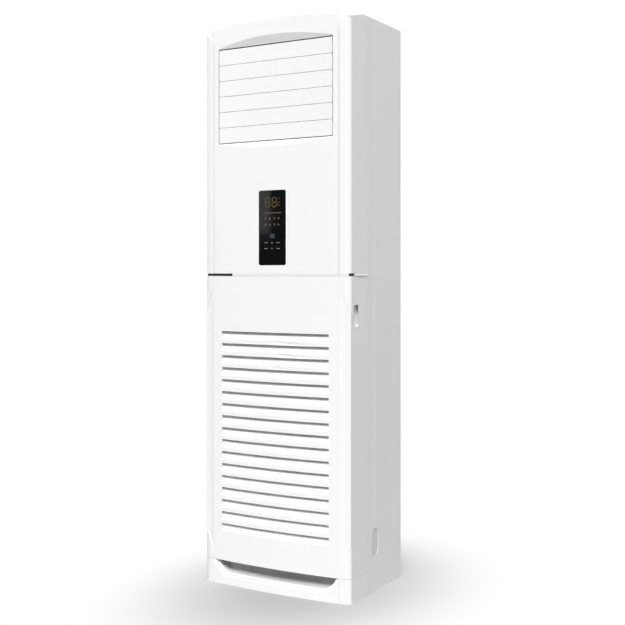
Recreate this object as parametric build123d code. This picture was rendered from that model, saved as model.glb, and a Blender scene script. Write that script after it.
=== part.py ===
from build123d import *
import math
import os

# Floor standing air conditioner, cabinet type. Millimetres, X to the right, -Y to the front,
# Z up, with the origin on the floor under the middle of the cabinet.

# ---- cabinet ----
cabinet_width = 540.0
cabinet_depth = 369.0
cabinet_height = 1808.0
front_bow = 12.5              # how far the middle of the front stands out past its side edges
strip_width = 36.8            # rounded strip at each front corner
strip_depth = 15.8
cheek_width = 16.5            # sunk cheek that takes the strip's place
cheek_drop = 5.0
cheek_rise = 2.0
cheek_corner = 3.0
side_seam_setback = 114.4     # from the bowed face's side edges back to the sheet-metal sides
plastic_wall = 2.5
sheet = 1.2
groove_width = 1.8
groove_depth = 2.4
skin_gap = 0.3                # between fixed skins
panel_gap = 0.8               # round the lower panel, which comes off

# ---- plinth and base pan ----
plinth_height = 75.5
plinth_wall = 3.0
pan_sheet = 1.5
pan_front_gap = 5.0           # behind the scoop's lining
pan_front_drop = 15.5         # of the front upstand below the plinth's top
pan_side_gap = 5.0            # inside the plinth cover's returns
pan_lip = 14.0
anchor_spacing_x = 440.0
anchor_spacing_y = 210.0
anchor_hole_radius = 5.5
scoop_side_gap = 12.2         # from each edge of the bowed face to the scoop's end
scoop_end_run = 45.0          # length of the scoop's curved ends
scoop_floor = 36.5
scoop_depth = 58.0
scoop_rim = 12.0

# ---- upper front panel ----
panel_seam_drop = 811.0       # from the cabinet's top to the top of the lower panel
strip_thickness = 5.0
seam_notch_width = 7.0
seam_notch_height = 2.4
seam_notch_length = 34.0      # of the notch round the corner, behind the face's side edges
seam_notch_reach = 3.0        # into the return
seam_web = 3.0                # of the trim behind the notch
seam_slot_outer = 232.0
seam_slot_inner = 156.0
seam_slot_depth = 10.0        # of the slot's run from its outer end to the corner
seam_ledge = 2.6
seam_ledge_foot = 0.6         # of the ledge past the skin at its lower edge
seam_ledge_nose = 1.4         # height of the ledge's edge above its lower edge
top_front_drop = 1.5          # of the middle of the front's top edge below the cabinet's top
top_arch_drop = 14.6          # of the arch, from its middle to the bowed face's edges
top_corner_drop = 10.0        # further to the cabinet's sides
top_slope = 0.25              # rise of the roof for each millimetre back
roof_wall = 3.0
top_flare_groove_drop = 46.0  # below the cabinet's top
top_flare_corner_drop = 19.0

# ---- outlet, louvre blades and vanes ----
outlet_side_margin = 56.5     # from the cabinet's side to the opening
outlet_drop = 74.9            # from the cabinet's top to the opening
outlet_corner = 4.0
outlet_flare_top = 2.26       # rise of the upper flare for each millimetre it comes forward
outlet_flare_bottom = 1.74
outlet_lip = 11.0
blade_count = 6
blade_pitch = 50.5
blade_gap = 1.0
blade_foot_gap = 2.0          # below the lowest blade
blade_head_gap = 3.1          # above the highest blade
blade_side_gap = 3.0
blade_thickness = 2.4
blade_face_setback = -1.2     # behind the face's side edges
blade_pivot_setback = 10.0
blade_end_thickness = 3.0
blade_boss_wall = 2.0         # round the pivot pin
blade_web_half = 14.0         # half height of the end plate where it meets the blade
pivot_pin_radius = 2.5
running_clearance = 0.06
link_arm = 16.0
link_arm_angle = 40.0
link_arm_width = 6.0
link_bar_gap = 2.0            # from the blades' ends
link_pin_overhang = 2.0       # past the link bar
drive_pin_length = 8.5        # of the driven pins into their motors
link_pin_radius = 2.0
link_open_clearance = 0.4
link_bar_thickness = 4.0
link_bar_width = 7.0
duct_side_room = 8.5          # beside the opening, for the cranks and the link bar
duct_wall = 3.0
duct_floor_drop = 5.0         # below the opening
duct_ceiling_rise = 7.5       # above the opening
duct_front_setback = 3.4
duct_rear_gap = 1.2           # ahead of the foam liner
foam_skirt = 20.0             # of the foam liner below the duct
foam_wall = 18.0
foam_bend = 70.0
duct_flange = 15.0
duct_flange_rise = 12.0
vane_count = 6
vane_pitch = 60.0
vane_setback = 75.0
vane_front_chord = 24.0
vane_rear_chord = 28.0
vane_thickness = 1.6
vane_end_gap = 1.5
tie_arm = 36.0
tie_pin_radius = 1.5
tie_rod_width = 6.0
tie_rod_thickness = 3.0
swing_motor_radius = 14.0
swing_motor_length = 19.0
louvre_motor_radius = 11.0
louvre_motor_length = 14.0
motor_shaft_offset = 8.0
motor_ear_width = 8.0
motor_ear_thickness = 1.5
motor_ear_reach = 9.0         # of the fixing ears past the small motors

# ---- display ----
display_width = 100.4
display_height = 236.0
display_rise = 34.4           # above the panel seam
display_corner = 6.5
lens_thickness = 2.8
lens_gap = 0.25
key_width = 16.4
key_height = 12.4
key_pitch_x = 22.8
key_pitch_z = 18.4
key_row_rise = 52.6           # lower key row above the display's bottom edge
key_gap = 0.3
key_proud = 0.3
key_travel = 0.6
key_back_gap = 5.5            # from a key's back to the display board
key_switch_width = 6.0
key_switch_height = 3.5
key_switch_pin_radius = 1.6
display_board_setback = 16.5  # behind the middle of the front
board_thickness = 1.6
display_board_margin = 4.0    # of the board past the lens at each side
lamp_block_half_width = 32.0
lamp_block_depth = 8.0
digit_block_drop = 22.0       # below the board's top
digit_block_height = 38.0
icon_block_drop = 70.0
icon_block_height = 42.0
receiver_drop = 134.0
receiver_radius = 4.0
receiver_length = 7.0

# ---- lower front panel and filter ----
slot_pitch = 38.94
slot_opening = 26.0
slot_drop = 178.0             # from the panel seam to the top slot
slot_foot_room = 80.0         # least height between the plinth and the lowest slot
slot_side_margin = 70.5       # from the cabinet's side to the slots
slat_depth = 16.0
slat_rise = 29.5
slat_thickness = 4.5
lower_flare_groove_drop = 5.0      # below the panel seam
lower_flare_corner_drop = 117.0
lower_flare_groove_rise = 6.5      # above the plinth
lower_flare_corner_rise = 100.5
grip_front_setback = 26.0
grip_length = 30.0
grip_depth = 11.0
grip_drop = 154.0             # from the panel seam to the grip's lower end
grip_height = 66.0
grip_undercut = 19.0          # of the grip's rear wall
peg_radius = 3.0
peg_length = 10.0
filter_side_margin = 51.0     # from the cabinet's side to the filter
filter_head = 4.6             # above the top slot
filter_foot = 6.36            # below the lowest slot
filter_thickness = 8.0
filter_slat_gap = 8.0         # behind the slats
filter_bar = 12.0
filter_lift = 12.0
mesh_columns = 14
mesh_rows = 20
mesh_strand = 2.0

# ---- blower ----
wheel_centre_x = 8.0
wheel_centre_z = 405.0
wheel_radius = 165.0
wheel_blade_width = 22.0
wheel_blades = 40
wheel_ring_width = 6.0
wheel_disc = 3.0
hub_radius = 18.0
hub_length = 28.0
hub_front_length = 20.0       # of the hub ahead of the disc's back
nut_radius = 10.0
nut_height = 7.8
shaft_end_length = 30.0       # of the shaft ahead of the wheel's back
wheel_front_gap = 10.0        # behind the scroll's front
wheel_back_gap = 18.0         # ahead of the scroll's back
scroll_front_setback = 90.0
scroll_wall = 2.0
scroll_top_gap = 13.0         # outside the wheel's rim, widening round the scroll
scroll_right_gap = 35.0
scroll_bottom_gap = 59.0
scroll_side_gap = 30.0        # from the scroll's widest side to the cabinet's side
throat_right = 95.0
inlet_lap = 3.0               # of the inlet ring inside the wheel's blades
hub_hole_radius = 40.0
bell_margin = 8.0             # of the bell mouth's plate past the scroll
bell_wall = 2.0
bell_flare = 24.0
bell_rise = 20.0
bell_inside = 14.0
shaft_radius = 6.0
shaft_clearance = 0.05
motor_radius = 66.0
motor_length = 66.0
motor_stand_off = 4.5         # behind the scroll's back
motor_flange_half = 60.0
motor_flange_thickness = 4.0
motor_groove_first = 12.0
motor_groove_pitch = 9.0
motor_groove_width = 4.0
motor_groove_depth = 3.0
motor_boss_radius = 22.0
motor_boss_length = 6.0
motor_rear_gap = 14.6         # from the motor's boss to the rear panel
mount_half_width = 110.0
mount_top_rise = 110.0        # above the motor's centre
mount_foot = 20.0
mount_hole_radius = 30.0
mount_plate = 2.5

# ---- coil chamber ----
partition_drop = 169.0        # below the panel seam
partition_front_setback = 60.0
cover_motor_gap = 3.0         # from the swing motor to the coil cover
coil_side_room = 56.0         # from the fins to the cabinet's side, for bends and pipes
coil_pan_gap = 9.0            # of the coil's lower end above the drain pan
coil_top_drop = 29.9          # of the coil's upper end below the duct's floor
coil_rear_gap = 45.3          # from the coil's upper end to the rear flanges
coil_thickness = 44.0
tube_radius = 4.8
tube_pitch = 25.4
tube_row_offset = 11.0
end_plate_margin = 6.0
coil_bracket_inset = 95.0     # from each end of the coil
coil_bracket_height = 30.0
tube_overhang = 6.0           # of the straight tubes past the fins
pan_wall = 2.0
drain_pan_side_gap = 24.0     # from the cabinet's side
cover_pan_gap = 1.8           # from the coil cover to the drain pan
drain_pan_front_room = 5.0    # ahead of the fins
drain_pan_rear_room = 18.0    # behind the fins
drain_pan_height = 34.0
drain_pan_rise = 22.0         # above the partition
drain_inset_x = 11.0          # of the spigot from the pan's end
drain_inset_y = 13.0
drain_spigot_length = 10.0
drain_radius = 8.0
gas_pipe_radius = 9.5
liquid_pipe_radius = 4.8
pipe_wall = 1.0
pipe_hole_clearance = 1.5
pipe_end_gap = 18.1           # from the pipes' ends to the rear panel
drain_run_gap = 45.0          # from the drain pipe's cross run to the pipes' ends
liquid_drop_gap = 67.0
gas_pipe_inset = 16.0         # from the cabinet's side
liquid_pipe_inset = 20.0
gas_bend = 17.0
liquid_bend = 13.5
drain_bend = 18.0
gas_end_offset_x = 12.0       # from the rear outlet's centre
gas_end_offset_z = 8.0
liquid_end_offset_x = 14.0
liquid_end_offset_z = 14.0
drain_end_offset_x = 6.0
drain_end_offset_z = 16.0

# ---- electric box ----
electric_side_gap = 55.0      # from the cabinet's side
electric_front_setback = 26.0
electric_rise = 22.0          # above the partition
electric_height = 135.0
vent_pitch = 40.0
vent_length = 24.0
vent_width = 4.0
vent_drop = 25.0
board_margin_x = 20.0         # from the electric box's left side
board_margin_z = 18.0
board_post_height = 10.0
board_post_inset = 7.0
board_post_radius = 3.0
board_terminal_gap = 35.0
transformer_width = 50.0
transformer_height = 40.0
transformer_depth = 22.0
relay_pitch = 24.0
relay_width = 18.0
relay_depth = 16.0
capacitor_radius = 15.0
capacitor_length = 30.0
chip_width = 50.0
chip_height = 22.0
chip_depth = 8.0
terminal_width = 110.0
terminal_height = 34.0
terminal_depth = 20.0
terminal_margin = 25.0        # from the electric box's right side
terminal_rise = 40.0
terminal_pitch = 22.0
terminal_screw_radius = 5.0

# ---- rear and sides ----
screw_head_radius = 4.0
screw_head_height = 2.2
screw_shank_radius = 2.0
screw_length = 8.0
outlet_hole_x = 172.0
outlet_hole_z = 155.0
outlet_hole_radius = 36.5
outlet_ring_radius = 32.0
gland_x = -170.0
gland_z = 120.0
gland_hole_radius = 10.0
gland_bore_radius = 6.0
cover_setback = 170.0
cover_height = 155.5
cover_width = 48.0
cover_length = 90.0
cover_gap = 0.4
cover_rim = 1.6               # width of the rim that locates the cover in the hole
cover_flange = 4.0            # of the cover behind the skin
cover_plate = 2.0
side_step_setback = 165.5
side_step = 0.3
flange = 19.0
channel_x = 90.0              # pressed channels in the rear panel
channel_width = 24.0
channel_depth = 5.0
channel_end_gap = 30.0
bracket_hole_spacing = 240.0
bracket_hole_radius = 4.5
bracket_drop = 63.0           # below the cabinet's top
bracket_margin = 20.0
bracket_plate_height = 50.0
lid_flange = 14.0
lid_foam_gap = 2.0
screw_end_room = 35.0         # from the rear panel's ends to the end screws
ring_lip = 4.5
ring_lip_thickness = 1.5

# ---- derived places: outside ----
half_width = cabinet_width / 2
front_y = -cabinet_depth / 2
face_edge_y = front_y + front_bow
face_edge_x = half_width - strip_width
back_y = cabinet_depth / 2
seam_y = face_edge_y + side_seam_setback
rear_skin_y = back_y - screw_head_height
rear_inner_y = rear_skin_y - sheet
bow_radius = (face_edge_x ** 2 + front_bow ** 2) / (2 * front_bow)
bow_axis = Axis((0, front_y + bow_radius, 0), (0, 0, 1))
panel_seam_height = cabinet_height - panel_seam_drop
side_bottom = plinth_height + skin_gap
seam_strip_bottom = panel_seam_height + panel_gap
seam_strip_top = seam_strip_bottom + strip_thickness
upper_panel_bottom = seam_strip_top + skin_gap
lower_panel_bottom = plinth_height + panel_gap
side_inner_x = half_width - sheet
scoop_half_width = face_edge_x - scoop_side_gap
scoop_flat_half = scoop_half_width - scoop_end_run
pan_setback = scoop_depth + plinth_wall + pan_front_gap
pan_front_height = plinth_height - pan_front_drop
top_flare_groove = cabinet_height - top_flare_groove_drop
top_flare_corner = cabinet_height - top_flare_corner_drop
lower_flare_top_groove = panel_seam_height - lower_flare_groove_drop
lower_flare_top_corner = panel_seam_height - lower_flare_corner_drop
lower_flare_bottom_groove = plinth_height + lower_flare_groove_rise
lower_flare_bottom_corner = plinth_height + lower_flare_corner_rise
grip_bottom = panel_seam_height - grip_drop
bracket_height = cabinet_height - bracket_drop

# ---- derived places: outlet, inlet and filter ----
outlet_half_width = half_width - outlet_side_margin
outlet_top = cabinet_height - outlet_drop
outlet_bottom = outlet_top - blade_count * blade_pitch - blade_foot_gap - blade_head_gap
blade_first = outlet_bottom + blade_foot_gap
blade_half_width = outlet_half_width - blade_side_gap
duct_half_width = outlet_half_width + duct_side_room
duct_floor = outlet_bottom - duct_floor_drop
duct_ceiling = outlet_top + duct_ceiling_rise
slot_first_top = panel_seam_height - slot_drop
slot_room = slot_first_top - slot_opening - plinth_height - slot_foot_room
slot_count = 1 + int(slot_room / slot_pitch)
slot_half_width = half_width - slot_side_margin
slot_last_bottom = slot_first_top - (slot_count - 1) * slot_pitch - slot_opening
filter_half_width = half_width - filter_side_margin
filter_bottom = slot_last_bottom - filter_foot
filter_height = slot_first_top + filter_head - filter_bottom
filter_setback = slat_depth + filter_slat_gap

# ---- derived places: blower, coil and electric box ----
motor_room = motor_stand_off + motor_length + motor_boss_length + motor_rear_gap
scroll_back_setback = rear_inner_y - motor_room - face_edge_y
scroll_top_radius = wheel_radius + scroll_top_gap
scroll_right_radius = wheel_radius + scroll_right_gap
scroll_bottom_radius = wheel_radius + scroll_bottom_gap
scroll_left_radius = half_width + wheel_centre_x - scroll_side_gap
wheel_inner_radius = wheel_radius - wheel_blade_width
wheel_front_setback = scroll_front_setback + wheel_front_gap
wheel_width = scroll_back_setback - wheel_back_gap - wheel_front_setback
inlet_radius = wheel_inner_radius - inlet_lap
partition_height = panel_seam_height - partition_drop
coil_cover_setback = vane_setback + swing_motor_radius + cover_motor_gap
drain_pan_half_width = half_width - drain_pan_side_gap
drain_pan_bottom = partition_height + drain_pan_rise
drain_pan_front = coil_cover_setback + sheet + cover_pan_gap
coil_half_width = half_width - coil_side_room
coil_base_setback = drain_pan_front + drain_pan_front_room + coil_thickness / 2
coil_base_height = drain_pan_bottom + drain_pan_height + coil_pan_gap
drain_pan_back = coil_base_setback + coil_thickness / 2 + drain_pan_rear_room
coil_rise = duct_floor - coil_top_drop - coil_base_height
coil_run = rear_skin_y - screw_length - 1 - coil_rear_gap - face_edge_y - coil_base_setback
coil_length = math.hypot(coil_rise, coil_run)
coil_lean = math.degrees(math.atan2(coil_run, coil_rise))
tubes_per_row = 2 * int(coil_length / (2 * tube_pitch))
pipe_end_setback = rear_inner_y - pipe_end_gap - face_edge_y
drain_run_setback = pipe_end_setback - drain_run_gap
liquid_drop_setback = pipe_end_setback - liquid_drop_gap
electric_half_width = half_width - electric_side_gap
electric_bottom = partition_height + electric_rise
electric_top = electric_bottom + electric_height


def behind(setback):
    """Depth of a point that lies this far behind the bowed face's side edges."""
    return face_edge_y + setback


def block(low, high):
    """A rectangular block between two opposite corners."""
    size = [b - a for a, b in zip(low, high)]
    middle = [(a + b) / 2 for a, b in zip(low, high)]
    return Pos(*middle) * Box(*size)


def rod(start, direction, radius, length):
    """A round bar that runs from a point in a direction."""
    place = Plane(origin=start, z_dir=direction)
    return place * Cylinder(radius, length, align=(Align.CENTER, Align.CENTER, Align.MIN))


def polygon(*points):
    """A face with straight sides."""
    return make_face(Polyline(*points, close=True))


def outline(*curves):
    """A face closed by a chain of curves."""
    return make_face([edge for curve in curves for edge in curve.edges()])


def prism_x(face, x_low, x_high):
    """Extrude a face drawn in Y and Z from one side to another."""
    place = Plane(origin=(x_low, 0, 0), x_dir=(0, 1, 0), z_dir=(1, 0, 0))
    return extrude(place * face, amount=x_high - x_low)


def prism_y(face, y_low, y_high):
    """Extrude a face drawn in X and Z from one depth to another."""
    place = Plane(origin=(0, y_high, 0), x_dir=(1, 0, 0), z_dir=(0, -1, 0))
    return extrude(place * face, amount=y_high - y_low)


def prism_z(face, z_low, z_high):
    """Extrude a face drawn in X and Y from one height to another."""
    return extrude(Pos(0, 0, z_low) * face, amount=z_high - z_low)


def bowed(points, half_span):
    """Sweep a section round the bow's axis; its points are depth behind the bowed face and height."""
    half_turn = math.degrees(math.asin(half_span / bow_radius))
    section = polygon(*[(front_y + depth, height) for depth, height in points])
    place = Plane(origin=(0, 0, 0), x_dir=(0, 1, 0), z_dir=(1, 0, 0))
    swept = revolve(place * section, axis=bow_axis, revolution_arc=2 * half_turn)
    return swept.rotate(bow_axis, -half_turn)


def bowed_sheet(near, far, half_span, low, high):
    """A plate that follows the bowed face between two depths and two heights."""
    return bowed([(near, low), (far, low), (far, high), (near, high)], half_span)


# ---------------------------------------------------------------- front outlines
def strip_outline(inset, back):
    """Plan of the front: bowed face, a rounded strip at each corner, straight returns."""
    side_x = half_width - inset
    face_y = face_edge_y + inset
    corner_y = face_edge_y + strip_depth
    round_x = side_x - face_edge_x
    round_y = corner_y - face_y
    face = ThreePointArc((-face_edge_x, face_y), (0, face_y - front_bow), (face_edge_x, face_y))
    right = EllipticalCenterArc((face_edge_x, corner_y), round_x, round_y, start_angle=270, arc_size=90)
    rear = Polyline((side_x, corner_y), (side_x, back), (-side_x, back), (-side_x, corner_y))
    left = EllipticalCenterArc((-face_edge_x, corner_y), round_x, round_y, start_angle=180, arc_size=90)
    return outline(face, right, rear, left)


def cheek_outline(back):
    """Plan of the front where the corner strip gives way to a shallow sunk cheek."""
    cheek_x = face_edge_x + cheek_width
    near_y = face_edge_y + cheek_drop
    corner_x = half_width - cheek_corner
    corner_y = near_y + cheek_rise
    turn = cheek_corner * (1 - math.sqrt(0.5))
    side_y = corner_y + cheek_corner
    face = ThreePointArc((-face_edge_x, face_edge_y), (0, front_y), (face_edge_x, face_edge_y))
    right = Polyline((face_edge_x, face_edge_y), (cheek_x, near_y), (corner_x, corner_y))
    turn_x = half_width - turn
    turn_y = corner_y + turn
    right_corner = ThreePointArc((corner_x, corner_y), (turn_x, turn_y), (half_width, side_y))
    rear = Polyline((half_width, side_y), (half_width, back), (-half_width, back), (-half_width, side_y))
    left_corner = ThreePointArc((-half_width, side_y), (-turn_x, turn_y), (-corner_x, corner_y))
    left = Polyline((-corner_x, corner_y), (-cheek_x, near_y), (-face_edge_x, face_edge_y))
    return outline(face, right, right_corner, rear, left_corner, left)


def hollow_outline(wall, back):
    """Plan of the space inside the front, clear of both the strip and the cheek."""
    face_y = face_edge_y + wall + cheek_drop / 4
    cheek_x = face_edge_x + cheek_width
    cheek_y = face_edge_y + cheek_drop + cheek_rise + wall
    side_x = half_width - wall
    side_y = face_edge_y + strip_depth + wall
    face = ThreePointArc((-face_edge_x, face_y), (0, front_y + wall), (face_edge_x, face_y))
    rest = Polyline((face_edge_x, face_y), (cheek_x, cheek_y), (side_x, side_y), (side_x, back),
                    (-side_x, back), (-side_x, side_y), (-cheek_x, cheek_y), (-face_edge_x, face_y))
    return outline(face, rest)


def flare_curve(side, groove_z, corner_z):
    """The curved end of a corner strip, from the face's edge out to the cabinet's corner."""
    over = half_width + cheek_corner
    middle_x = face_edge_x + (over - face_edge_x) * 0.38
    middle_z = groove_z + (corner_z - groove_z) * 0.56
    return ThreePointArc((side * face_edge_x, groove_z), (side * middle_x, middle_z), (side * over, corner_z))


def face_grooves(low, high):
    """Fine grooves along both edges of the bowed face."""
    cutters = []
    for side in (-1, 1):
        x = side * face_edge_x
        section = polygon((x - groove_width / 2, face_edge_y - 1), (x + groove_width / 2, face_edge_y - 1),
                          (x, face_edge_y + groove_depth))
        cutters.append(prism_z(section, low, high))
    return cutters


# ---------------------------------------------------------------- plinth and base
def scoop_void(grow):
    """The toe-kick recess: a rounded trough whose floor curves up towards the back."""
    half = scoop_half_width + grow
    flat = scoop_flat_half + grow
    low = scoop_floor - grow
    high = plinth_height + 5
    bend_x = flat + (half - flat) * 0.58
    bend_z = low + (high - low) * 0.29
    front_view = outline(Line((-flat, low), (flat, low)),
                         ThreePointArc((flat, low), (bend_x, bend_z), (half, high)),
                         Line((half, high), (-half, high)),
                         ThreePointArc((-half, high), (-bend_x, bend_z), (-flat, low)))
    mouth_y = front_y - 1
    floor_y = face_edge_y + scoop_rim / 2
    end_y = behind(scoop_depth) + grow
    bend_y = floor_y + (end_y - floor_y) * 0.7
    side_view = outline(Line((mouth_y, low), (floor_y, low)),
                        ThreePointArc((floor_y, low), (bend_y, low + (high - low) * 0.26), (end_y, high)),
                        Line((end_y, high), (mouth_y, high)),
                        Line((mouth_y, high), (mouth_y, low)))
    return prism_y(front_view, mouth_y, end_y) & prism_x(side_view, -half, half)


def on_scoop_mouth(edge):
    """True for the edges where the scoop breaks the bowed face."""
    middle = edge.center()
    distance = math.hypot(middle.X, middle.Y - (front_y + bow_radius))
    inside = abs(middle.X) < scoop_half_width + 1 and scoop_floor - 1 < middle.Z < plinth_height - 1
    return inside and abs(distance - bow_radius) < 1.0


def make_plinth_cover():
    """Plastic plinth front, with the toe-kick scoop and returns that reach the side seam."""
    shell = prism_z(strip_outline(0, seam_y), 0, plinth_height)
    hollow = prism_z(hollow_outline(plinth_wall, seam_y + 1), -1, plinth_height - plinth_wall)
    liner = scoop_void(plinth_wall) & shell
    cover = shell - hollow + liner - scoop_void(0)
    mouth = cover.edges().filter_by(on_scoop_mouth)
    cover = chamfer(mouth, scoop_rim)
    return cover - face_grooves(-1, plinth_height + 1)


def anchor_positions():
    """Centres of the four floor anchor holes."""
    middle_y = (behind(pan_setback) + rear_skin_y) / 2
    return [(x * anchor_spacing_x / 2, middle_y + y * anchor_spacing_y / 2) for x in (-1, 1) for y in (-1, 1)]


def make_base_pan():
    """Folded steel pan: floor, front upstand, and side and rear flanges that finish the plinth."""
    front = behind(pan_setback)
    flange_y = seam_y + skin_gap
    inner_half = half_width - plinth_wall - pan_side_gap
    pan = block((-inner_half, front, 0), (inner_half, rear_skin_y, pan_sheet))
    pan += block((-inner_half, front, 0), (inner_half, front + pan_sheet, pan_front_height))
    pan += block((-half_width, rear_skin_y - pan_sheet, 0), (half_width, rear_skin_y, plinth_height))
    for side in (-1, 1):
        outer = side * half_width
        inner = side * (half_width - pan_sheet)
        lip = side * (half_width - pan_lip)
        low, high = sorted((outer, inner))
        pan += block((low, flange_y, 0), (high, rear_skin_y, plinth_height))
        low, high = sorted((outer, side * (inner_half - 1)))
        pan += block((low, flange_y, 0), (high, rear_skin_y, pan_sheet))
        low, high = sorted((outer, lip))
        pan += block((low, flange_y, plinth_height - pan_sheet), (high, rear_skin_y, plinth_height))
    for x, y in anchor_positions():
        pan -= rod((x, y, -1), (0, 0, 1), anchor_hole_radius, pan_sheet + 2)
    return pan


# ---------------------------------------------------------------- sheet-metal cabinet
def screw_positions():
    """Rear screws, as X and Z, up both edges of the rear panel."""
    rows = 5
    low = side_bottom + screw_end_room
    step = (cabinet_height - 2 * screw_end_room - side_bottom) / (rows - 1)
    return [(side * (half_width - flange / 2), low + row * step) for side in (-1, 1) for row in range(rows)]


def screw_holes(y_low, y_high, clearance):
    """Cutters for the rear screws' shanks."""
    radius = screw_shank_radius + clearance
    return [rod((x, y_low, z), (0, 1, 0), radius, y_high - y_low) for x, z in screw_positions()]


def make_side_panel(side):
    """Folded steel side with a shallow step down its skin, flanges front and rear, and the pipe hole."""
    step_y = behind(side_step_setback)
    front = seam_y + skin_gap
    outer = half_width
    inner = side_inner_x
    back = rear_inner_y
    top = cabinet_height
    edge = half_width - flange
    panel = block((inner - side_step, front, side_bottom), (outer - side_step, step_y, top))
    panel += block((inner - side_step, step_y - sheet, side_bottom), (outer, step_y, top))
    panel += block((inner, step_y - sheet, side_bottom), (outer, back, top))
    panel += block((edge, front, side_bottom), (outer - side_step, front + sheet, top))
    panel += block((edge, back - sheet, side_bottom), (inner + sheet / 2, back, top))
    if side < 0:
        panel = mirror(panel, about=Plane.YZ)
    hole = Pos(behind(cover_setback), cover_height) * cover_shape(0)
    panel -= prism_x(hole, -half_width - 1, half_width + 1)
    for z in peg_heights():
        start = (side * peg_x(), front - 1, z)
        panel -= rod(start, (0, 1, 0), peg_radius + 1, sheet + 2)
    return panel - screw_holes(rear_inner_y - sheet - 1, back_y, 0.1)


def inner_half_width():
    """Half of the clear width between the sheet-metal sides."""
    return half_width - sheet - side_step - 1


def side_flange_back():
    """Depth just behind the sides' front flanges."""
    return seam_y + skin_gap + sheet + skin_gap


def rear_clear_y():
    """Depth just ahead of the sides' rear flanges and the rear screws."""
    return rear_skin_y - screw_length - 1


def cover_shape(inset):
    """Upright oval of the pipe hole in the side, drawn about its own centre."""
    return SlotOverall(cover_length - 2 * inset, cover_width - 2 * inset, rotation=90)


def make_pipe_hole_covers():
    """A sunk oval cover for the pipe hole in each side, with a rim that locates it in the hole."""
    place = Pos(behind(cover_setback), cover_height)
    covers = []
    for side in (-1, 1):
        outer = side * half_width
        inner = side * (half_width - sheet - side_step)
        low, high = sorted((outer, inner))
        rim = cover_shape(cover_gap) - cover_shape(cover_gap + cover_rim)
        plate = prism_x(place * rim, low, high)
        low, high = sorted((inner, inner - side * cover_plate))
        plate += prism_x(place * cover_shape(-cover_flange), low, high)
        covers.append(plate)
    return covers


def make_rear_panel():
    """Steel back with two pressed stiffening channels, the pipe outlet and the mains inlet."""
    panel = block((-half_width, rear_inner_y, side_bottom), (half_width, rear_skin_y, cabinet_height))
    low = side_bottom + channel_end_gap
    high = cabinet_height - channel_end_gap
    foot = channel_width / 2
    nose = foot - channel_depth
    outer_floor = rear_skin_y - channel_depth
    inner_floor = rear_inner_y - channel_depth
    for x in (-channel_x, channel_x):
        outside = polygon((x - foot, rear_skin_y + 1), (x - foot, rear_skin_y), (x - nose, outer_floor),
                          (x + nose, outer_floor), (x + foot, rear_skin_y), (x + foot, rear_skin_y + 1))
        inside = polygon((x - foot - sheet, rear_inner_y), (x - nose - sheet / 2, inner_floor),
                         (x + nose + sheet / 2, inner_floor), (x + foot + sheet, rear_inner_y))
        panel += prism_z(inside, low - sheet, high + sheet)
        panel -= prism_z(outside, low, high)
    panel -= rod((outlet_hole_x, rear_inner_y - 1, outlet_hole_z), (0, 1, 0), outlet_hole_radius, sheet + 2)
    panel -= rod((gland_x, rear_inner_y - 1, gland_z), (0, 1, 0), gland_hole_radius, sheet + 2)
    return panel - screw_holes(rear_inner_y - 1, back_y, 0.1) - stay_holes()


def make_top_cover():
    """Steel lid between the sides, with flanges turned down all round."""
    half = half_width - sheet - side_step - skin_gap
    front = seam_y + skin_gap + sheet
    back = rear_inner_y - sheet - skin_gap
    lid = block((-half, front, cabinet_height - lid_flange), (half, back, cabinet_height))
    return lid - block((-half + sheet, front + sheet, cabinet_height - lid_flange - 1),
                       (half - sheet, back - sheet, cabinet_height - sheet))


def make_cabinet_screws():
    """Pan head screws that hold the rear panel to both sides."""
    screws = []
    for x, z in screw_positions():
        head = rod((x, rear_skin_y, z), (0, 1, 0), screw_head_radius, screw_head_height)
        head -= block((x - 3, back_y - 1, z - 0.5), (x + 3, back_y + 1, z + 0.5))
        head -= block((x - 0.5, back_y - 1, z - 3), (x + 0.5, back_y + 1, z + 3))
        shank = rod((x, rear_skin_y - screw_length, z), (0, 1, 0), screw_shank_radius, screw_length)
        screws.append(head + shank)
    return screws


def stay_holes():
    """Cutters for the wall stay's screw holes, through the bracket and the rear panel."""
    return [rod((side * bracket_hole_spacing / 2, rear_inner_y - 1, bracket_height), (0, 1, 0),
                bracket_hole_radius, sheet + screw_head_height + 2) for side in (-1, 1)]


def make_wall_bracket():
    """Spot-welded plate at the top of the back that takes the screws of a wall stay against tipping."""
    half = bracket_hole_spacing / 2 + bracket_margin
    low = bracket_height - bracket_plate_height / 2
    plate = block((-half, rear_skin_y, low), (half, back_y, low + bracket_plate_height))
    return plate - stay_holes()


def make_rear_rings():
    """Rubber rings that line the pipe outlet and the mains inlet."""
    lip = ring_lip
    lip_thickness = ring_lip_thickness
    rings = []
    for x, z, hole, bore in ((outlet_hole_x, outlet_hole_z, outlet_hole_radius, outlet_ring_radius),
                             (gland_x, gland_z, gland_hole_radius, gland_bore_radius)):
        ring = rod((x, rear_inner_y - lip_thickness, z), (0, 1, 0), hole - 0.1, sheet + 2 * lip_thickness)
        ring += rod((x, rear_skin_y, z), (0, 1, 0), hole + lip, lip_thickness)
        ring += rod((x, rear_inner_y - lip_thickness, z), (0, 1, 0), hole + lip, lip_thickness)
        rings.append(ring - rod((x, rear_inner_y - 5, z), (0, 1, 0), bore, 12))
    return rings


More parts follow.
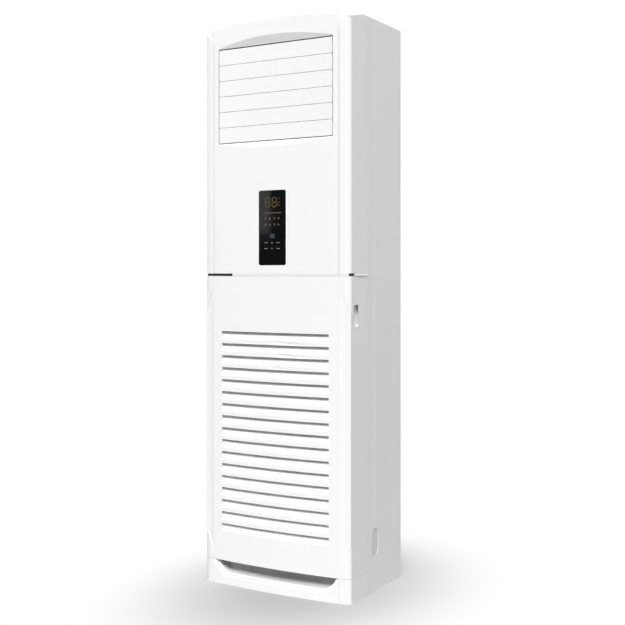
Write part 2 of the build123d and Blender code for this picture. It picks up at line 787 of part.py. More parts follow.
# ---------------------------------------------------------------- upper front panel
def top_cut(drop):
    """What the arched top edge, rising towards the back, takes off the front."""
    start = front_y - 2
    top = cabinet_height - drop - top_front_drop - 2 * top_slope
    over = half_width + 2
    edge_z = top - top_arch_drop
    corner_z = edge_z - top_corner_drop
    bend_x = (face_edge_x + over) / 2
    bend_z = edge_z - top_corner_drop * 0.4
    arch = outline(ThreePointArc((-face_edge_x, edge_z), (0, top), (face_edge_x, edge_z)),
                   ThreePointArc((face_edge_x, edge_z), (bend_x, bend_z), (over, corner_z)),
                   Polyline((over, corner_z), (over, top + 30), (-over, top + 30), (-over, corner_z)),
                   ThreePointArc((-over, corner_z), (-bend_x, bend_z), (-face_edge_x, edge_z)))
    run = (cabinet_height - drop + 1 - corner_z) / top_slope
    place = Plane(origin=(0, start, 0), x_dir=(1, 0, 0), z_dir=(0, -1, 0))
    return extrude(place * arch, amount=math.hypot(run, run * top_slope), dir=(0, 1, top_slope))


def outlet_void():
    """The outlet opening: upright sides, and flares above and below that open towards the front."""
    mouth_y = front_y - 1
    face_y = behind(blade_face_setback)
    back = behind(duct_front_setback)
    reach = face_y - mouth_y
    void = prism_x(polygon((back, outlet_bottom), (face_y, outlet_bottom),
                           (mouth_y, outlet_bottom - reach * outlet_flare_bottom),
                           (mouth_y, outlet_top + reach * outlet_flare_top),
                           (face_y, outlet_top), (back, outlet_top)),
                   -outlet_half_width, outlet_half_width)
    width = 2 * outlet_half_width
    height = outlet_top - outlet_bottom
    corners = Rectangle(width + 2, height + 2) - RectangleRounded(width, height, outlet_corner)
    return void - prism_y(Pos(0, outlet_bottom + height / 2) * corners, face_y, back + 1)


def display_bottom():
    """Height of the display's lower edge."""
    return panel_seam_height + display_rise


def display_prism(margin, corner, near, far):
    """Upright rounded block over the display, following the bowed face."""
    middle = display_bottom() + display_height / 2
    face = Pos(0, middle) * RectangleRounded(display_width + 2 * margin, display_height + 2 * margin, corner)
    low = display_bottom() - margin - 1
    high = display_bottom() + display_height + margin + 1
    curved = bowed_sheet(near, far, display_width, low, high)
    return prism_y(face, front_y - 5, front_y + far + 5) & curved


def make_upper_front_panel():
    """Upper front: closed roof, arched top edge, flared outlet and a rebate for the display lens."""
    over = half_width + cheek_corner
    crown = outline(Line((-face_edge_x, top_flare_groove), (face_edge_x, top_flare_groove)),
                    flare_curve(1, top_flare_groove, top_flare_corner),
                    Polyline((over, top_flare_corner), (over, cabinet_height + 20),
                             (-over, cabinet_height + 20), (-over, top_flare_corner)),
                    flare_curve(-1, top_flare_groove, top_flare_corner))
    crown_prism = prism_y(crown, front_y - 5, seam_y + 5)
    strips = prism_z(strip_outline(0, seam_y), upper_panel_bottom, cabinet_height) - crown_prism
    cheeks = prism_z(cheek_outline(seam_y), upper_panel_bottom, cabinet_height) & crown_prism
    outer = strips + cheeks - top_cut(0)
    inside = hollow_outline(plastic_wall, seam_y + 1)
    hollow = prism_z(inside, upper_panel_bottom - 1, cabinet_height - roof_wall) - top_cut(roof_wall)
    panel = outer - hollow
    lip = outlet_half_width + outlet_lip
    mouth_y = behind(duct_front_setback) - skin_gap
    lip_rise = (face_edge_y - front_y) * outlet_flare_top + outlet_lip
    lip_fall = (face_edge_y - front_y) * outlet_flare_bottom + outlet_lip
    frame = block((-lip, front_y - 1, outlet_bottom - lip_fall), (lip, mouth_y, outlet_top + lip_rise))
    backing = block((-display_width / 2 - 7, front_y - 1, display_bottom() - 6),
                    (display_width / 2 + 7, front_y + 6.5, display_bottom() + display_height + 6))
    panel += frame & outer
    panel += backing & outer
    board_y = front_y + display_board_setback
    post_x = display_width / 2 + 1
    for side in (-1, 1):
        for z in (display_bottom() + 3, display_bottom() + display_height - 3):
            panel += rod((side * post_x, front_y + 6, z), (0, 1, 0), 3, board_y - front_y - 6)
    panel -= outlet_void()
    panel -= display_prism(lens_gap, display_corner + lens_gap, -2, lens_thickness + 0.3)
    panel -= block((-display_width / 2 + 5, front_y, display_bottom() + 6),
                   (display_width / 2 - 5, front_y + 8, display_bottom() + display_height - 6))
    panel -= face_grooves(upper_panel_bottom - 1, top_flare_groove)
    return panel - seam_openings(upper_panel_bottom - 1, upper_panel_bottom + seam_notch_height)


def seam_openings(low, high):
    """The notch round each front corner of the seam, and the slot that joins the left one."""
    notch_x = half_width - seam_notch_width
    depth = behind(strip_depth)
    slot_back = behind(plastic_wall + 3)
    cutters = [block((-seam_slot_outer, front_y - 1, low), (-seam_slot_inner, slot_back, high)),
               block((-notch_x - 1, front_y - 1, low), (1 - seam_slot_outer, behind(seam_slot_depth), high))]
    for side in (-1, 1):
        near, far = sorted((side * notch_x, side * (half_width + 2)))
        cutters.append(block((near, front_y - 1, low), (far, depth, high)))
        near, far = sorted((side * (half_width - seam_notch_reach), side * (half_width + 2)))
        cutters.append(block((near, depth - 1, low), (far, behind(seam_notch_length), high)))
    return cutters


def make_seam_strip():
    """Trim between the two front panels, standing a little proud of both returns as a ledge."""
    rim = 14.0
    strip = prism_z(strip_outline(0.5, seam_y), seam_strip_bottom, seam_strip_top)
    strip -= prism_z(hollow_outline(rim, seam_y + 1), seam_strip_bottom - 1, seam_strip_top + 1)
    inner_x = half_width - plastic_wall
    web_x = half_width - seam_notch_reach - seam_web
    strip -= block((-web_x, behind(strip_depth + rim), seam_strip_bottom - 1),
                   (web_x, seam_y + 1, seam_strip_top + 1))
    strip -= block((-inner_x, behind(seam_notch_length + rim), seam_strip_bottom - 1),
                   (inner_x, seam_y + 1, seam_strip_top + 1))
    for side in (-1, 1):
        inner = side * inner_x
        skin = side * half_width
        outer = side * (half_width + seam_ledge)
        foot = side * (half_width + seam_ledge_foot)
        section = polygon((inner, seam_strip_bottom), (foot, seam_strip_bottom),
                          (outer, seam_strip_bottom + seam_ledge_nose), (skin, seam_strip_top),
                          (inner, seam_strip_top))
        strip += prism_y(section, behind(seam_notch_length), seam_y)
    return strip - seam_openings(seam_strip_bottom - 1, seam_strip_top + 1)


# ---------------------------------------------------------------- lower front panel
def peg_x():
    """Sideways place of the pegs that hold the lower panel."""
    return half_width - flange + 7


def peg_heights():
    """Heights of the lower panel's pegs."""
    return (lower_panel_bottom + 34, panel_seam_height - 34)


def grip_void(side):
    """Finger grip in the side return: a ramp that ends in a pocket undercut at the back."""
    front = behind(grip_front_setback)
    back = front + grip_length
    surface = side * half_width
    bottom = side * (half_width - grip_depth)
    ramp = polygon((surface + side * 1, front), (surface + side * 1, back), (surface, back),
                   (bottom, back + grip_undercut), (bottom, back - 7), (surface, front))
    return prism_z(ramp, grip_bottom, grip_bottom + grip_height)


def grip_block(side):
    """Material behind the finger grip."""
    low, high = sorted((side * (half_width - grip_depth - plastic_wall), side * (half_width - 1)))
    front = behind(grip_front_setback)
    back = front + grip_length + grip_undercut
    return block((low, front - 1, grip_bottom - plastic_wall),
                 (high, back + plastic_wall, grip_bottom + grip_height + plastic_wall))


def slot_top(index):
    """Height of the top edge of one inlet slot, counted from the top."""
    return slot_first_top - index * slot_pitch


def make_slats():
    """Sloping slats, one in each slot, and the flat bands between the slots."""
    pieces = []
    for index in range(slot_count):
        low = slot_top(index) - slot_opening
        pieces.append(bowed([(0, low - slat_thickness), (0, low), (slat_depth, low + slat_rise),
                             (slat_depth, low + slat_rise - slat_thickness)], slot_half_width + 1))
        if index < slot_count - 1:
            pieces.append(bowed_sheet(0, plastic_wall, slot_half_width + 1, slot_top(index + 1), low))
    return pieces


def filter_channels():
    """Channels on the panel's back: a deep one above the filter and a shallow one below."""
    gap = 0.8
    wall = 2.0
    near = behind(filter_setback) - gap
    far = behind(filter_setback + filter_thickness) + gap
    half = filter_half_width + gap
    low = filter_bottom - gap
    high = filter_bottom + filter_height + filter_lift + 1
    overlap = filter_lift - 1.5
    channels = block((-half, near - wall, low - wall), (half, far + wall, low + overlap))
    channels -= block((-half - 1, near, low), (half + 1, far, low + overlap + 1))
    top = block((-half, near - wall, high - filter_lift - overlap), (half, far + wall, high + wall))
    channels += top - block((-half - 1, near, high - 2 * filter_lift), (half + 1, far, high))
    for side in (-1, 1):
        inner, outer = sorted((side * half, side * (half + wall)))
        channels += block((inner, front_y + 5, low - wall), (outer, far + wall, high + wall))
    return channels


def make_lower_front_panel():
    """Lower front: louvred inlet, sunk cheeks, finger grips, filter channels and four pegs."""
    over = half_width + cheek_corner
    top_z = lower_flare_top_groove
    top_corner_z = lower_flare_top_corner
    low_z = lower_flare_bottom_groove
    low_corner_z = lower_flare_bottom_corner
    middle = outline(Line((-face_edge_x, top_z), (face_edge_x, top_z)),
                     flare_curve(1, top_z, top_corner_z),
                     Line((over, top_corner_z), (over, low_corner_z)),
                     flare_curve(1, low_z, low_corner_z),
                     Line((face_edge_x, low_z), (-face_edge_x, low_z)),
                     flare_curve(-1, low_z, low_corner_z),
                     Line((-over, low_corner_z), (-over, top_corner_z)),
                     flare_curve(-1, top_z, top_corner_z))
    middle_prism = prism_y(middle, front_y - 5, seam_y + 5)
    back = seam_y - panel_gap / 2
    strips = prism_z(strip_outline(0, back), lower_panel_bottom, panel_seam_height) - middle_prism
    cheeks = prism_z(cheek_outline(back), lower_panel_bottom, panel_seam_height) & middle_prism
    outer = strips + cheeks
    inside = hollow_outline(plastic_wall, back + 1)
    panel = outer - prism_z(inside, lower_panel_bottom - 1, panel_seam_height + 1)
    bottom = slot_last_bottom
    panel -= block((-slot_half_width, front_y - 1, bottom),
                   (slot_half_width, behind(strip_depth), slot_first_top))
    side_walls = []
    for side in (-1, 1):
        low, high = sorted((side * slot_half_width, side * (slot_half_width + 2)))
        wall = block((low, front_y - 1, bottom - 1), (high, behind(slat_depth + 2), slot_first_top + 2))
        side_walls.append(wall & outer)
    panel = panel + side_walls + make_slats()
    panel += filter_channels() & outer
    for side in (-1, 1):
        panel += grip_block(side)
        ear_x = sorted((side * (peg_x() - 7), side * (half_width - 1)))
        for z in peg_heights():
            panel += block((ear_x[0], back - 3, z - 8), (ear_x[1], back, z + 8))
            panel += rod((side * peg_x(), back - 1, z), (0, 1, 0), peg_radius, peg_length + 1)
    panel -= [grip_void(-1), grip_void(1)]
    return panel - face_grooves(lower_flare_top_groove, panel_seam_height + 1)


def make_panel_catches():
    """Ring catches behind the sides' front flanges, one for each peg."""
    catches = []
    start = seam_y + skin_gap + sheet
    for side in (-1, 1):
        for z in peg_heights():
            ring = rod((side * peg_x(), start, z), (0, 1, 0), peg_radius + 3, peg_length - 3)
            bore = rod((side * peg_x(), start - 1, z), (0, 1, 0), peg_radius + running_clearance, peg_length)
            catches.append(ring - bore)
    return catches


def make_filter_frame():
    """Plastic frame of the air filter, with two cross bars."""
    near = behind(filter_setback)
    far = near + filter_thickness
    top = filter_bottom + filter_height
    inner = filter_half_width - filter_bar
    frame = block((-filter_half_width, near, filter_bottom), (filter_half_width, far, top))
    frame -= block((-inner, near - 1, filter_bottom + filter_bar), (inner, far + 1, top - filter_bar))
    for share in (1 / 3, 2 / 3):
        z = filter_bottom + share * filter_height
        frame += block((-inner - 1, near, z - filter_bar / 4), (inner + 1, near + 2.5, z + filter_bar / 4))
    return frame


def make_filter_mesh():
    """Woven filter mesh, as one holed sheet inside the frame."""
    near = behind(filter_setback) + 3
    inner = filter_half_width - filter_bar
    low = filter_bottom + filter_bar
    high = filter_bottom + filter_height - filter_bar
    width = 2 * inner
    height = high - low
    hole_x = width / mesh_columns - mesh_strand
    hole_z = height / mesh_rows - mesh_strand
    net = Pos(0, (low + high) / 2) * Rectangle(width, height)
    holes = [Pos(-inner + (column + 0.5) * width / mesh_columns, low + (row + 0.5) * height / mesh_rows)
             * Rectangle(hole_x, hole_z)
             for column in range(mesh_columns) for row in range(mesh_rows)]
    return prism_y(net - holes, near, near + 0.8)


# ---------------------------------------------------------------- display and keys
def key_places():
    """Name, sideways place and height of each key."""
    low = display_bottom() + key_row_rise
    names = (("key_lower_left", "key_down", "key_lower_right"),
             ("key_upper_left", "key_up", "key_upper_right"))
    return [(names[row][column], (column - 1) * key_pitch_x, low + row * key_pitch_z)
            for row in range(2) for column in range(3)]


def make_display_lens():
    """Black gloss lens that follows the bow, pierced for the six keys."""
    lens = display_prism(0, display_corner, 0.1, lens_thickness)
    for name, x, z in key_places():
        hole = Pos(x, z) * RectangleRounded(key_width + 2 * key_gap, key_height + 2 * key_gap, 2)
        lens -= prism_y(hole, front_y - 5, front_y + 10)
    return lens


def make_key(x, z):
    """Push key: cap through the lens, a flange behind it and a stem towards its switch."""
    back = front_y + display_board_setback - key_back_gap
    cap = Pos(x, z) * RectangleRounded(key_width, key_height, 1.7)
    rim = Pos(x, z) * RectangleRounded(key_width + 2.4, key_height + 2.4, 2)
    reach = 2 * key_pitch_x
    low = z - key_height
    high = z + key_height
    key = prism_y(cap, front_y - 5, back) & bowed_sheet(-key_proud, 20, reach, low, high)
    flange_plate = prism_y(rim, front_y - 5, back)
    key += flange_plate & bowed_sheet(lens_thickness + 0.25, lens_thickness + 1.5, reach, low, high)
    return key


def make_display_board():
    """Display board: circuit board, digit block, indicator block, receiver and six key switches."""
    near = front_y + display_board_setback
    low = display_bottom() + 1
    high = display_bottom() + display_height - 1
    half = display_width / 2 + display_board_margin
    board = block((-half, near, low), (half, near + board_thickness, high))
    lamp_half = lamp_block_half_width
    lamp_y = near - lamp_block_depth
    for drop, height in ((digit_block_drop, digit_block_height), (icon_block_drop, icon_block_height)):
        board += block((-lamp_half, lamp_y, high - drop - height), (lamp_half, near, high - drop))
    receiver = (0, near - receiver_length, high - receiver_drop)
    board += rod(receiver, (0, 1, 0), receiver_radius, receiver_length)
    switch = key_switch_width / 2
    reach = key_back_gap - key_travel - key_gap
    for name, x, z in key_places():
        board += block((x - switch, near - key_switch_height, z - switch), (x + switch, near, z + switch))
        board += rod((x, near - reach, z), (0, 1, 0), key_switch_pin_radius, reach)
    return board


# ---------------------------------------------------------------- outlet louvres
def blade_height(index):
    """Height of one louvre blade's pivot, counted from the bottom."""
    return blade_first + (index + 0.5) * blade_pitch


def link_pin_offset():
    """Depth and height of a blade's link pin from its pivot, with the louvre shut."""
    angle = math.radians(link_arm_angle)
    return link_arm * math.cos(angle), link_arm * math.sin(angle)


def make_blade(index):
    """Louvre blade: flat slat, end plates, pivot pins, and a crank with the link pin on the left."""
    z = blade_height(index)
    pivot_y = behind(blade_pivot_setback)
    face_y = behind(blade_face_setback)
    half = (blade_pitch - blade_gap) / 2
    round_radius = blade_thickness * 0.45
    inner_y = face_y + blade_thickness
    slat = block((-blade_half_width, face_y, z - half), (blade_half_width, inner_y, z + half))
    slat = fillet(slat.edges().filter_by(Axis.X), round_radius)
    boss = pivot_pin_radius + blade_boss_wall
    root_y = inner_y - 0.5
    plate = polygon((root_y, z - blade_web_half), (pivot_y + 1, z - boss), (pivot_y + boss, z),
                    (pivot_y + 1, z + boss), (root_y, z + blade_web_half))
    for side in (-1, 1):
        low, high = sorted((side * blade_half_width, side * (blade_half_width - blade_end_thickness)))
        slat += prism_x(plate, low, high)
        reach = duct_half_width + duct_wall - blade_half_width
        slat += rod((side * blade_half_width, pivot_y, z), (side, 0, 0), pivot_pin_radius, reach)
    if index == driven_blade():
        start = duct_half_width + duct_wall - 0.5
        slat += rod((start, pivot_y, z), (1, 0, 0), pivot_pin_radius, drive_pin_length + 0.5)
    pin_y, pin_z = link_pin_offset()
    crank = SlotCenterToCenter(link_arm, link_arm_width, rotation=link_arm_angle)
    arm = Pos(pivot_y + pin_y / 2, z + pin_z / 2) * crank
    slat += prism_x(arm, -blade_half_width, -blade_half_width + blade_end_thickness)
    pin_start = (-blade_half_width + 1, pivot_y + pin_y, z + pin_z)
    pin_reach = 1 + link_bar_gap + link_bar_thickness + link_pin_overhang
    slat += rod(pin_start, (-1, 0, 0), link_pin_radius, pin_reach)
    return slat


def driven_blade():
    """The blade that the louvre motor turns."""
    return blade_count // 2 - 1


def make_link_bar():
    """Upright bar that joins the six cranks; a close bore on the first blade, open ones on the rest."""
    pin_y, pin_z = link_pin_offset()
    y = behind(blade_pivot_setback) + pin_y
    low = blade_height(0) + pin_z
    high = blade_height(blade_count - 1) + pin_z
    right = -blade_half_width - link_bar_gap
    left = right - link_bar_thickness
    profile = Pos(y, (low + high) / 2) * SlotCenterToCenter(high - low, link_bar_width, rotation=90)
    bar = prism_x(profile, left, right)
    for index in range(blade_count):
        clearance = running_clearance if index == 0 else link_open_clearance
        bore = link_pin_radius + clearance
        bar -= rod((left - 1, y, blade_height(index) + pin_z), (1, 0, 0), bore, link_bar_thickness + 2)
    return bar


def make_louvre_motor():
    """Small geared stepper motor outside the duct's right wall, with its shaft off centre."""
    z = blade_height(driven_blade())
    pivot_y = behind(blade_pivot_setback)
    centre_y = pivot_y + motor_shaft_offset
    start = duct_half_width + duct_wall
    motor = rod((start, centre_y, z), (1, 0, 0), louvre_motor_radius, louvre_motor_length)
    ear = motor_ear_width / 2
    reach = louvre_motor_radius + motor_ear_reach
    motor += block((start, centre_y - ear, z - reach),
                   (start + motor_ear_thickness, centre_y + ear, z + reach))
    bore_depth = 1 + drive_pin_length + 1.5
    return motor - rod((start - 1, pivot_y, z), (1, 0, 0), pivot_pin_radius + running_clearance, bore_depth)


def vane_x(index):
    """Sideways place of one upright vane."""
    return (index - (vane_count - 1) / 2) * vane_pitch


def tie_height():
    """Height of the vanes' tie rod."""
    return (duct_floor + duct_ceiling) / 2


def make_vane(index):
    """Upright air vane with a pivot pin at each end and a tab for the tie rod."""
    x = vane_x(index)
    y = behind(vane_setback)
    low = duct_floor + vane_end_gap
    high = duct_ceiling - vane_end_gap
    half = vane_thickness / 2
    vane = block((x - half, y - vane_front_chord, low), (x + half, y + vane_rear_chord, high))
    vane += rod((x, y, low), (0, 0, 1), pivot_pin_radius + 1, high - low)
    reach = vane_end_gap + duct_wall
    vane += rod((x, y, high - 1), (0, 0, 1), pivot_pin_radius, reach + 1)
    deep = reach + drive_pin_length + 0.5 if index == 0 else reach
    vane += rod((x, y, low - deep), (0, 0, 1), pivot_pin_radius, deep + 1)
    tab_z = tie_height()
    vane += block((x - 4, y + vane_rear_chord - 2, tab_z), (x + 4, y + tie_arm + 4, tab_z + 2))
    vane += rod((x, y + tie_arm, tab_z + 1), (0, 0, -1), tie_pin_radius, tie_rod_thickness + 4)
    return vane


def make_tie_rod():
    """Flat rod that swings the vanes together; a close bore on the first, open ones on the rest."""
    y = behind(vane_setback) + tie_arm
    high = tie_height() - 1.2
    low = high - tie_rod_thickness
    first = vane_x(0)
    last = vane_x(vane_count - 1)
    profile = Pos((first + last) / 2, y) * SlotCenterToCenter(last - first, tie_rod_width)
    tie = prism_z(profile, low, high)
    for index in range(vane_count):
        clearance = running_clearance if index == 0 else link_open_clearance
        tie -= rod((vane_x(index), y, low - 1), (0, 0, 1), tie_pin_radius + clearance, tie_rod_thickness + 2)
    return tie


def make_swing_motor():
    """Stepper motor under the duct floor that turns the first vane."""
    x = vane_x(0)
    y = behind(vane_setback)
    top = duct_floor - duct_wall
    motor = rod((x + motor_shaft_offset, y, top), (0, 0, -1), swing_motor_radius, swing_motor_length)
    ear = motor_ear_width / 2
    reach = swing_motor_radius + motor_ear_reach - 2
    middle = x + motor_shaft_offset
    motor += block((middle - reach, y - ear, top - motor_ear_thickness), (middle + reach, y + ear, top))
    bore_depth = 1 + drive_pin_length + 1.5
    return motor - rod((x, y, top + 1), (0, 0, -1), pivot_pin_radius + running_clearance, bore_depth)


def make_outlet_duct():
    """Plastic outlet duct that carries the blades' and vanes' pivots."""
    front = behind(duct_front_setback)
    back = side_flange_back() - duct_rear_gap
    outer_half = duct_half_width + duct_wall
    low = duct_floor - duct_wall
    high = duct_ceiling + duct_wall
    duct = block((-outer_half, front, low), (outer_half, back, high))
    duct += block((-outer_half - duct_flange, back - duct_wall, low - duct_flange_rise),
                  (outer_half + duct_flange, back, high + duct_flange_rise))
    duct -= block((-duct_half_width, front - 1, duct_floor), (duct_half_width, back + 1, duct_ceiling))
    pin_hole = pivot_pin_radius + running_clearance
    for index in range(blade_count):
        start = (-outer_half - 1, behind(blade_pivot_setback), blade_height(index))
        duct -= rod(start, (1, 0, 0), pin_hole, 2 * outer_half + 2)
    for index in range(vane_count):
        start = (vane_x(index), behind(vane_setback), low - 1)
        duct -= rod(start, (0, 0, 1), pin_hole, high - low + 2)
    return duct


def make_foam_liner():
    """Foam block behind the duct that turns the rising air forward."""
    half = inner_half_width()
    near = side_flange_back()
    far = rear_clear_y()
    low = duct_floor - duct_wall - foam_skirt
    high = cabinet_height - lid_flange - lid_foam_gap
    bend = foam_bend
    inner_high = duct_ceiling
    inner_far = far - foam_wall
    air_path = outline(Polyline((near - 1, inner_high), (near - 1, low - 1), (inner_far, low - 1),
                                (inner_far, inner_high - bend)),
                       RadiusArc((inner_far, inner_high - bend), (inner_far - bend, inner_high), -bend),
                       Line((inner_far - bend, inner_high), (near - 1, inner_high)))
    liner = block((-half, near, low), (half, far, high))
    return liner - prism_x(air_path, -duct_half_width, duct_half_width)


# ---------------------------------------------------------------- coil chamber
def coil_plane():
    """Plane of the leaning coil: X along its tubes, Z up its length, origin at its lower end."""
    lean = math.radians(coil_lean)
    return Plane(origin=(0, behind(coil_base_setback), coil_base_height), x_dir=(1, 0, 0),
                 z_dir=(0, math.sin(lean), math.cos(lean)))


def tube_along(index):
    """Distance of one tube up the coil from its lower end."""
    return (coil_length - (tubes_per_row - 1) * tube_pitch) / 2 + index * tube_pitch


def coil_point(x, across, along):
    """Point in the cabinet's frame of a place given across and up the coil."""
    return coil_plane().from_local_coords(Vector(x, across, along))


def tube_rods(half_length, radius):
    """Straight rods along every tube, in the coil's own frame."""
    return [rod((-half_length, row * tube_row_offset, tube_along(index)), (1, 0, 0), radius, 2 * half_length)
            for row in (-1, 1) for index in range(tubes_per_row)]


def make_evaporator_fins():
    """Fin pack of the coil, as one slab bored for its tubes."""
    slab = Pos(0, 0, coil_length / 2) * Box(2 * coil_half_width, coil_thickness, coil_length)
    return coil_plane() * (slab - tube_rods(coil_half_width + 1, tube_radius + 0.05))


def make_end_plates():
    """Galvanised end plates that the tubes pass through, with brackets that reach the cabinet's sides."""
    plates = []
    depth = coil_thickness + 2 * end_plate_margin
    bracket_depth = end_plate_margin - 1
    for side in (-1, 1):
        inner = coil_half_width + skin_gap
        reach = inner_half_width() - inner
        plate = Pos(side * (inner + sheet / 2), 0, coil_length / 2) * Box(sheet, depth, coil_length)
        plate -= tube_rods(coil_half_width + 10, tube_radius + 0.05)
        for along in (coil_bracket_inset, coil_length - coil_bracket_inset):
            middle = (side * (inner + reach / 2), (bracket_depth - depth) / 2, along)
            plate += Pos(*middle) * Box(reach, bracket_depth, coil_bracket_height)
        plates.append(coil_plane() * plate)
    return plates


def half_bend(side, across, along, radius, upright):
    """Half-turn bend outside one end plate; upright ones join a row's tubes, the others join the rows."""
    x = side * (coil_half_width + tube_overhang)
    turn = Rot(90, 0, 0) if upright else Rot(0, 0, 0)
    ring = Pos(x, across, along) * turn * Torus(radius, tube_radius)
    reach = radius + tube_radius + 1
    keep = Pos(x + side * reach / 2, across, along) * Box(reach, 2 * reach, 2 * reach)
    return ring & keep


def make_evaporator_tubes():
    """Copper tubes through the coil, joined by return bends along each row and across both rows' ends."""
    tubes = tube_rods(coil_half_width + tube_overhang, tube_radius)
    for row in (-1, 1):
        for index in range(tubes_per_row - 1):
            side = -1 if index % 2 == 0 else 1
            middle = (tube_along(index) + tube_along(index + 1)) / 2
            tubes.append(half_bend(side, row * tube_row_offset, middle, tube_pitch / 2, True))
    for index in (0, tubes_per_row - 1):
        tubes.append(half_bend(1, 0, tube_along(index), tube_row_offset, False))
    return coil_plane() * tubes[0].fuse(*tubes[1:])


def pipe_start(index):
    """Where a refrigerant pipe meets the cross bend at one end of the coil."""
    apex = coil_half_width + tube_overhang + tube_row_offset + tube_radius + 0.05
    return coil_point(apex, 0, tube_along(index))


def make_drain_pan():
    """Tray under the coil with a spigot at its right end."""
    low = (-drain_pan_half_width, behind(drain_pan_front), drain_pan_bottom)
    high = (drain_pan_half_width, behind(drain_pan_back), drain_pan_bottom + drain_pan_height)
    pan = block(low, high)
    pan -= block((low[0] + pan_wall, low[1] + pan_wall, low[2] + pan_wall),
                 (high[0] - pan_wall, high[1] - pan_wall, high[2] + 1))
    x, y = drain_place()
    start = (x, y, drain_pan_bottom - drain_spigot_length)
    radius = drain_radius - pipe_wall - 0.05
    pan += rod(start, (0, 0, 1), radius, drain_spigot_length + 0.5)
    return pan - rod(start, (0, 0, 1), radius - pipe_wall, drain_spigot_length + drain_pan_height)


def drain_place():
    """Plan position of the drain pan's spigot."""
    return drain_pan_half_width - drain_inset_x, behind(drain_pan_back - drain_inset_y)


def pipe(points, bend, radius):
    """A bent pipe with a bore, along straight runs and tangent bends."""
    route = FilletPolyline(*points, radius=bend)
    start = Plane(origin=route @ 0, z_dir=route % 0)
    ring = Circle(radius) - Circle(radius - pipe_wall)
    return sweep(start * ring, path=route)


def make_drain_pipe():
    """Rigid drain pipe from the pan's spigot down to the rear outlet."""
    x, y = drain_place()
    end_x = outlet_hole_x - drain_end_offset_x
    low = outlet_hole_z - drain_end_offset_z
    across_y = behind(drain_run_setback)
    route = [(x, y, drain_pan_bottom), (x, y, low), (x, across_y, low), (end_x, across_y, low),
             (end_x, behind(pipe_end_setback), low)]
    return pipe(route, drain_bend, drain_radius)


def gas_route():
    """Route of the gas pipe, from the coil's upper cross bend to the rear outlet."""
    start = pipe_start(tubes_per_row - 1)
    x = half_width - gas_pipe_inset
    end_x = outlet_hole_x + gas_end_offset_x
    low = outlet_hole_z + gas_end_offset_z
    return [(start.X, start.Y, start.Z), (x, start.Y, start.Z), (x, start.Y, low), (end_x, start.Y, low),
            (end_x, behind(pipe_end_setback), low)]


def liquid_route():
    """Route of the liquid pipe, from the coil's lower cross bend to the rear outlet."""
    start = pipe_start(0)
    x = half_width - liquid_pipe_inset
    drop_y = behind(liquid_drop_setback)
    end_x = outlet_hole_x - liquid_end_offset_x
    low = outlet_hole_z + liquid_end_offset_z
    return [(start.X, start.Y, start.Z), (x, start.Y, start.Z), (x, drop_y, start.Z), (x, drop_y, low),
            (end_x, drop_y, low), (end_x, behind(pipe_end_setback), low)]


def make_refrigerant_pipes():
    """Copper gas and liquid pipes."""
    gas = pipe(gas_route(), gas_bend, gas_pipe_radius)
    return [gas, pipe(liquid_route(), liquid_bend, liquid_pipe_radius)]


def make_partition_plate():
    """Plate that parts the blower chamber from the coil chamber, open over the scroll's throat."""
    half = inner_half_width()
    narrow = half_width - flange - 1
    step_y = side_flange_back()
    plate = block((-half, step_y, partition_height), (half, rear_clear_y(), partition_height + sheet))
    front = behind(partition_front_setback)
    plate += block((-narrow, front, partition_height), (narrow, step_y, partition_height + sheet))
    left = wheel_centre_x - scroll_left_radius
    plate -= block((left, behind(scroll_front_setback + scroll_wall), partition_height - 1),
                   (throat_right, behind(scroll_back_setback - scroll_wall), partition_height + 3))
    x, y = drain_place()
    gas = gas_route()[2]
    liquid = liquid_route()[3]
    for hole_x, hole_y, radius in ((x, y, drain_radius), (gas[0], gas[1], gas_pipe_radius),
                                   (liquid[0], liquid[1], liquid_pipe_radius)):
        plate -= rod((hole_x, hole_y, partition_height - 1), (0, 0, 1), radius + pipe_hole_clearance, 4)
    return plate


def make_coil_cover():
    """Sheet tray that closes the coil chamber towards the front, flanged to meet both sides."""
    half = half_width - flange - 1
    outer = half_width - plastic_wall - 1
    front = behind(coil_cover_setback)
    back = seam_y
    low = partition_height + sheet
    top = duct_floor - duct_wall - duct_flange_rise - 1
    cover = block((-half, front, low), (half, front + sheet, top))
    cover += block((-half, front, top - sheet), (half, back, top))
    for side in (-1, 1):
        near, far = sorted((side * half, side * (half - sheet)))
        cover += block((near, front, low), (far, back, top))
        near, far = sorted((side * (half - sheet), side * outer))
        cover += block((near, back - sheet, low), (far, back, top))
        near, far = sorted((side * (half + 0.5), side * (outer + 1)))
        for z in peg_heights():
            cover -= block((near, back - 4, z - 12), (far, back + 1, z + 12))
    return cover


# ---------------------------------------------------------------- blower
def scroll_outline(grow, top):
    """Front view of the scroll: four quarter ellipses that widen, and a throat that rises."""
    cx = wheel_centre_x
    cz = wheel_centre_z
    up = scroll_top_radius + grow
    right = scroll_right_radius + grow
    down = scroll_bottom_radius + grow
    left = scroll_left_radius + grow
    throat = throat_right + grow
    return outline(EllipticalCenterArc((cx, cz), right, up, start_angle=0, arc_size=90),
                   Polyline((cx, cz + up), (throat, top), (cx - left, top), (cx - left, cz)),
                   EllipticalCenterArc((cx, cz), left, down, start_angle=180, arc_size=90),
                   EllipticalCenterArc((cx, cz), right, down, start_angle=270, arc_size=90))


def make_scroll_casing():
    """Scroll wrapper with its back plate, open at the throat and towards the bell mouth."""
    front = behind(scroll_front_setback)
    back = behind(scroll_back_setback)
    top = partition_height
    casing = prism_y(scroll_outline(scroll_wall, top), front, back)
    casing -= prism_y(scroll_outline(0, top + 5), front - 1, back - scroll_wall)
    hub_hole = rod((wheel_centre_x, back - 5, wheel_centre_z), (0, 1, 0), hub_hole_radius, 10)
    return casing - hub_hole


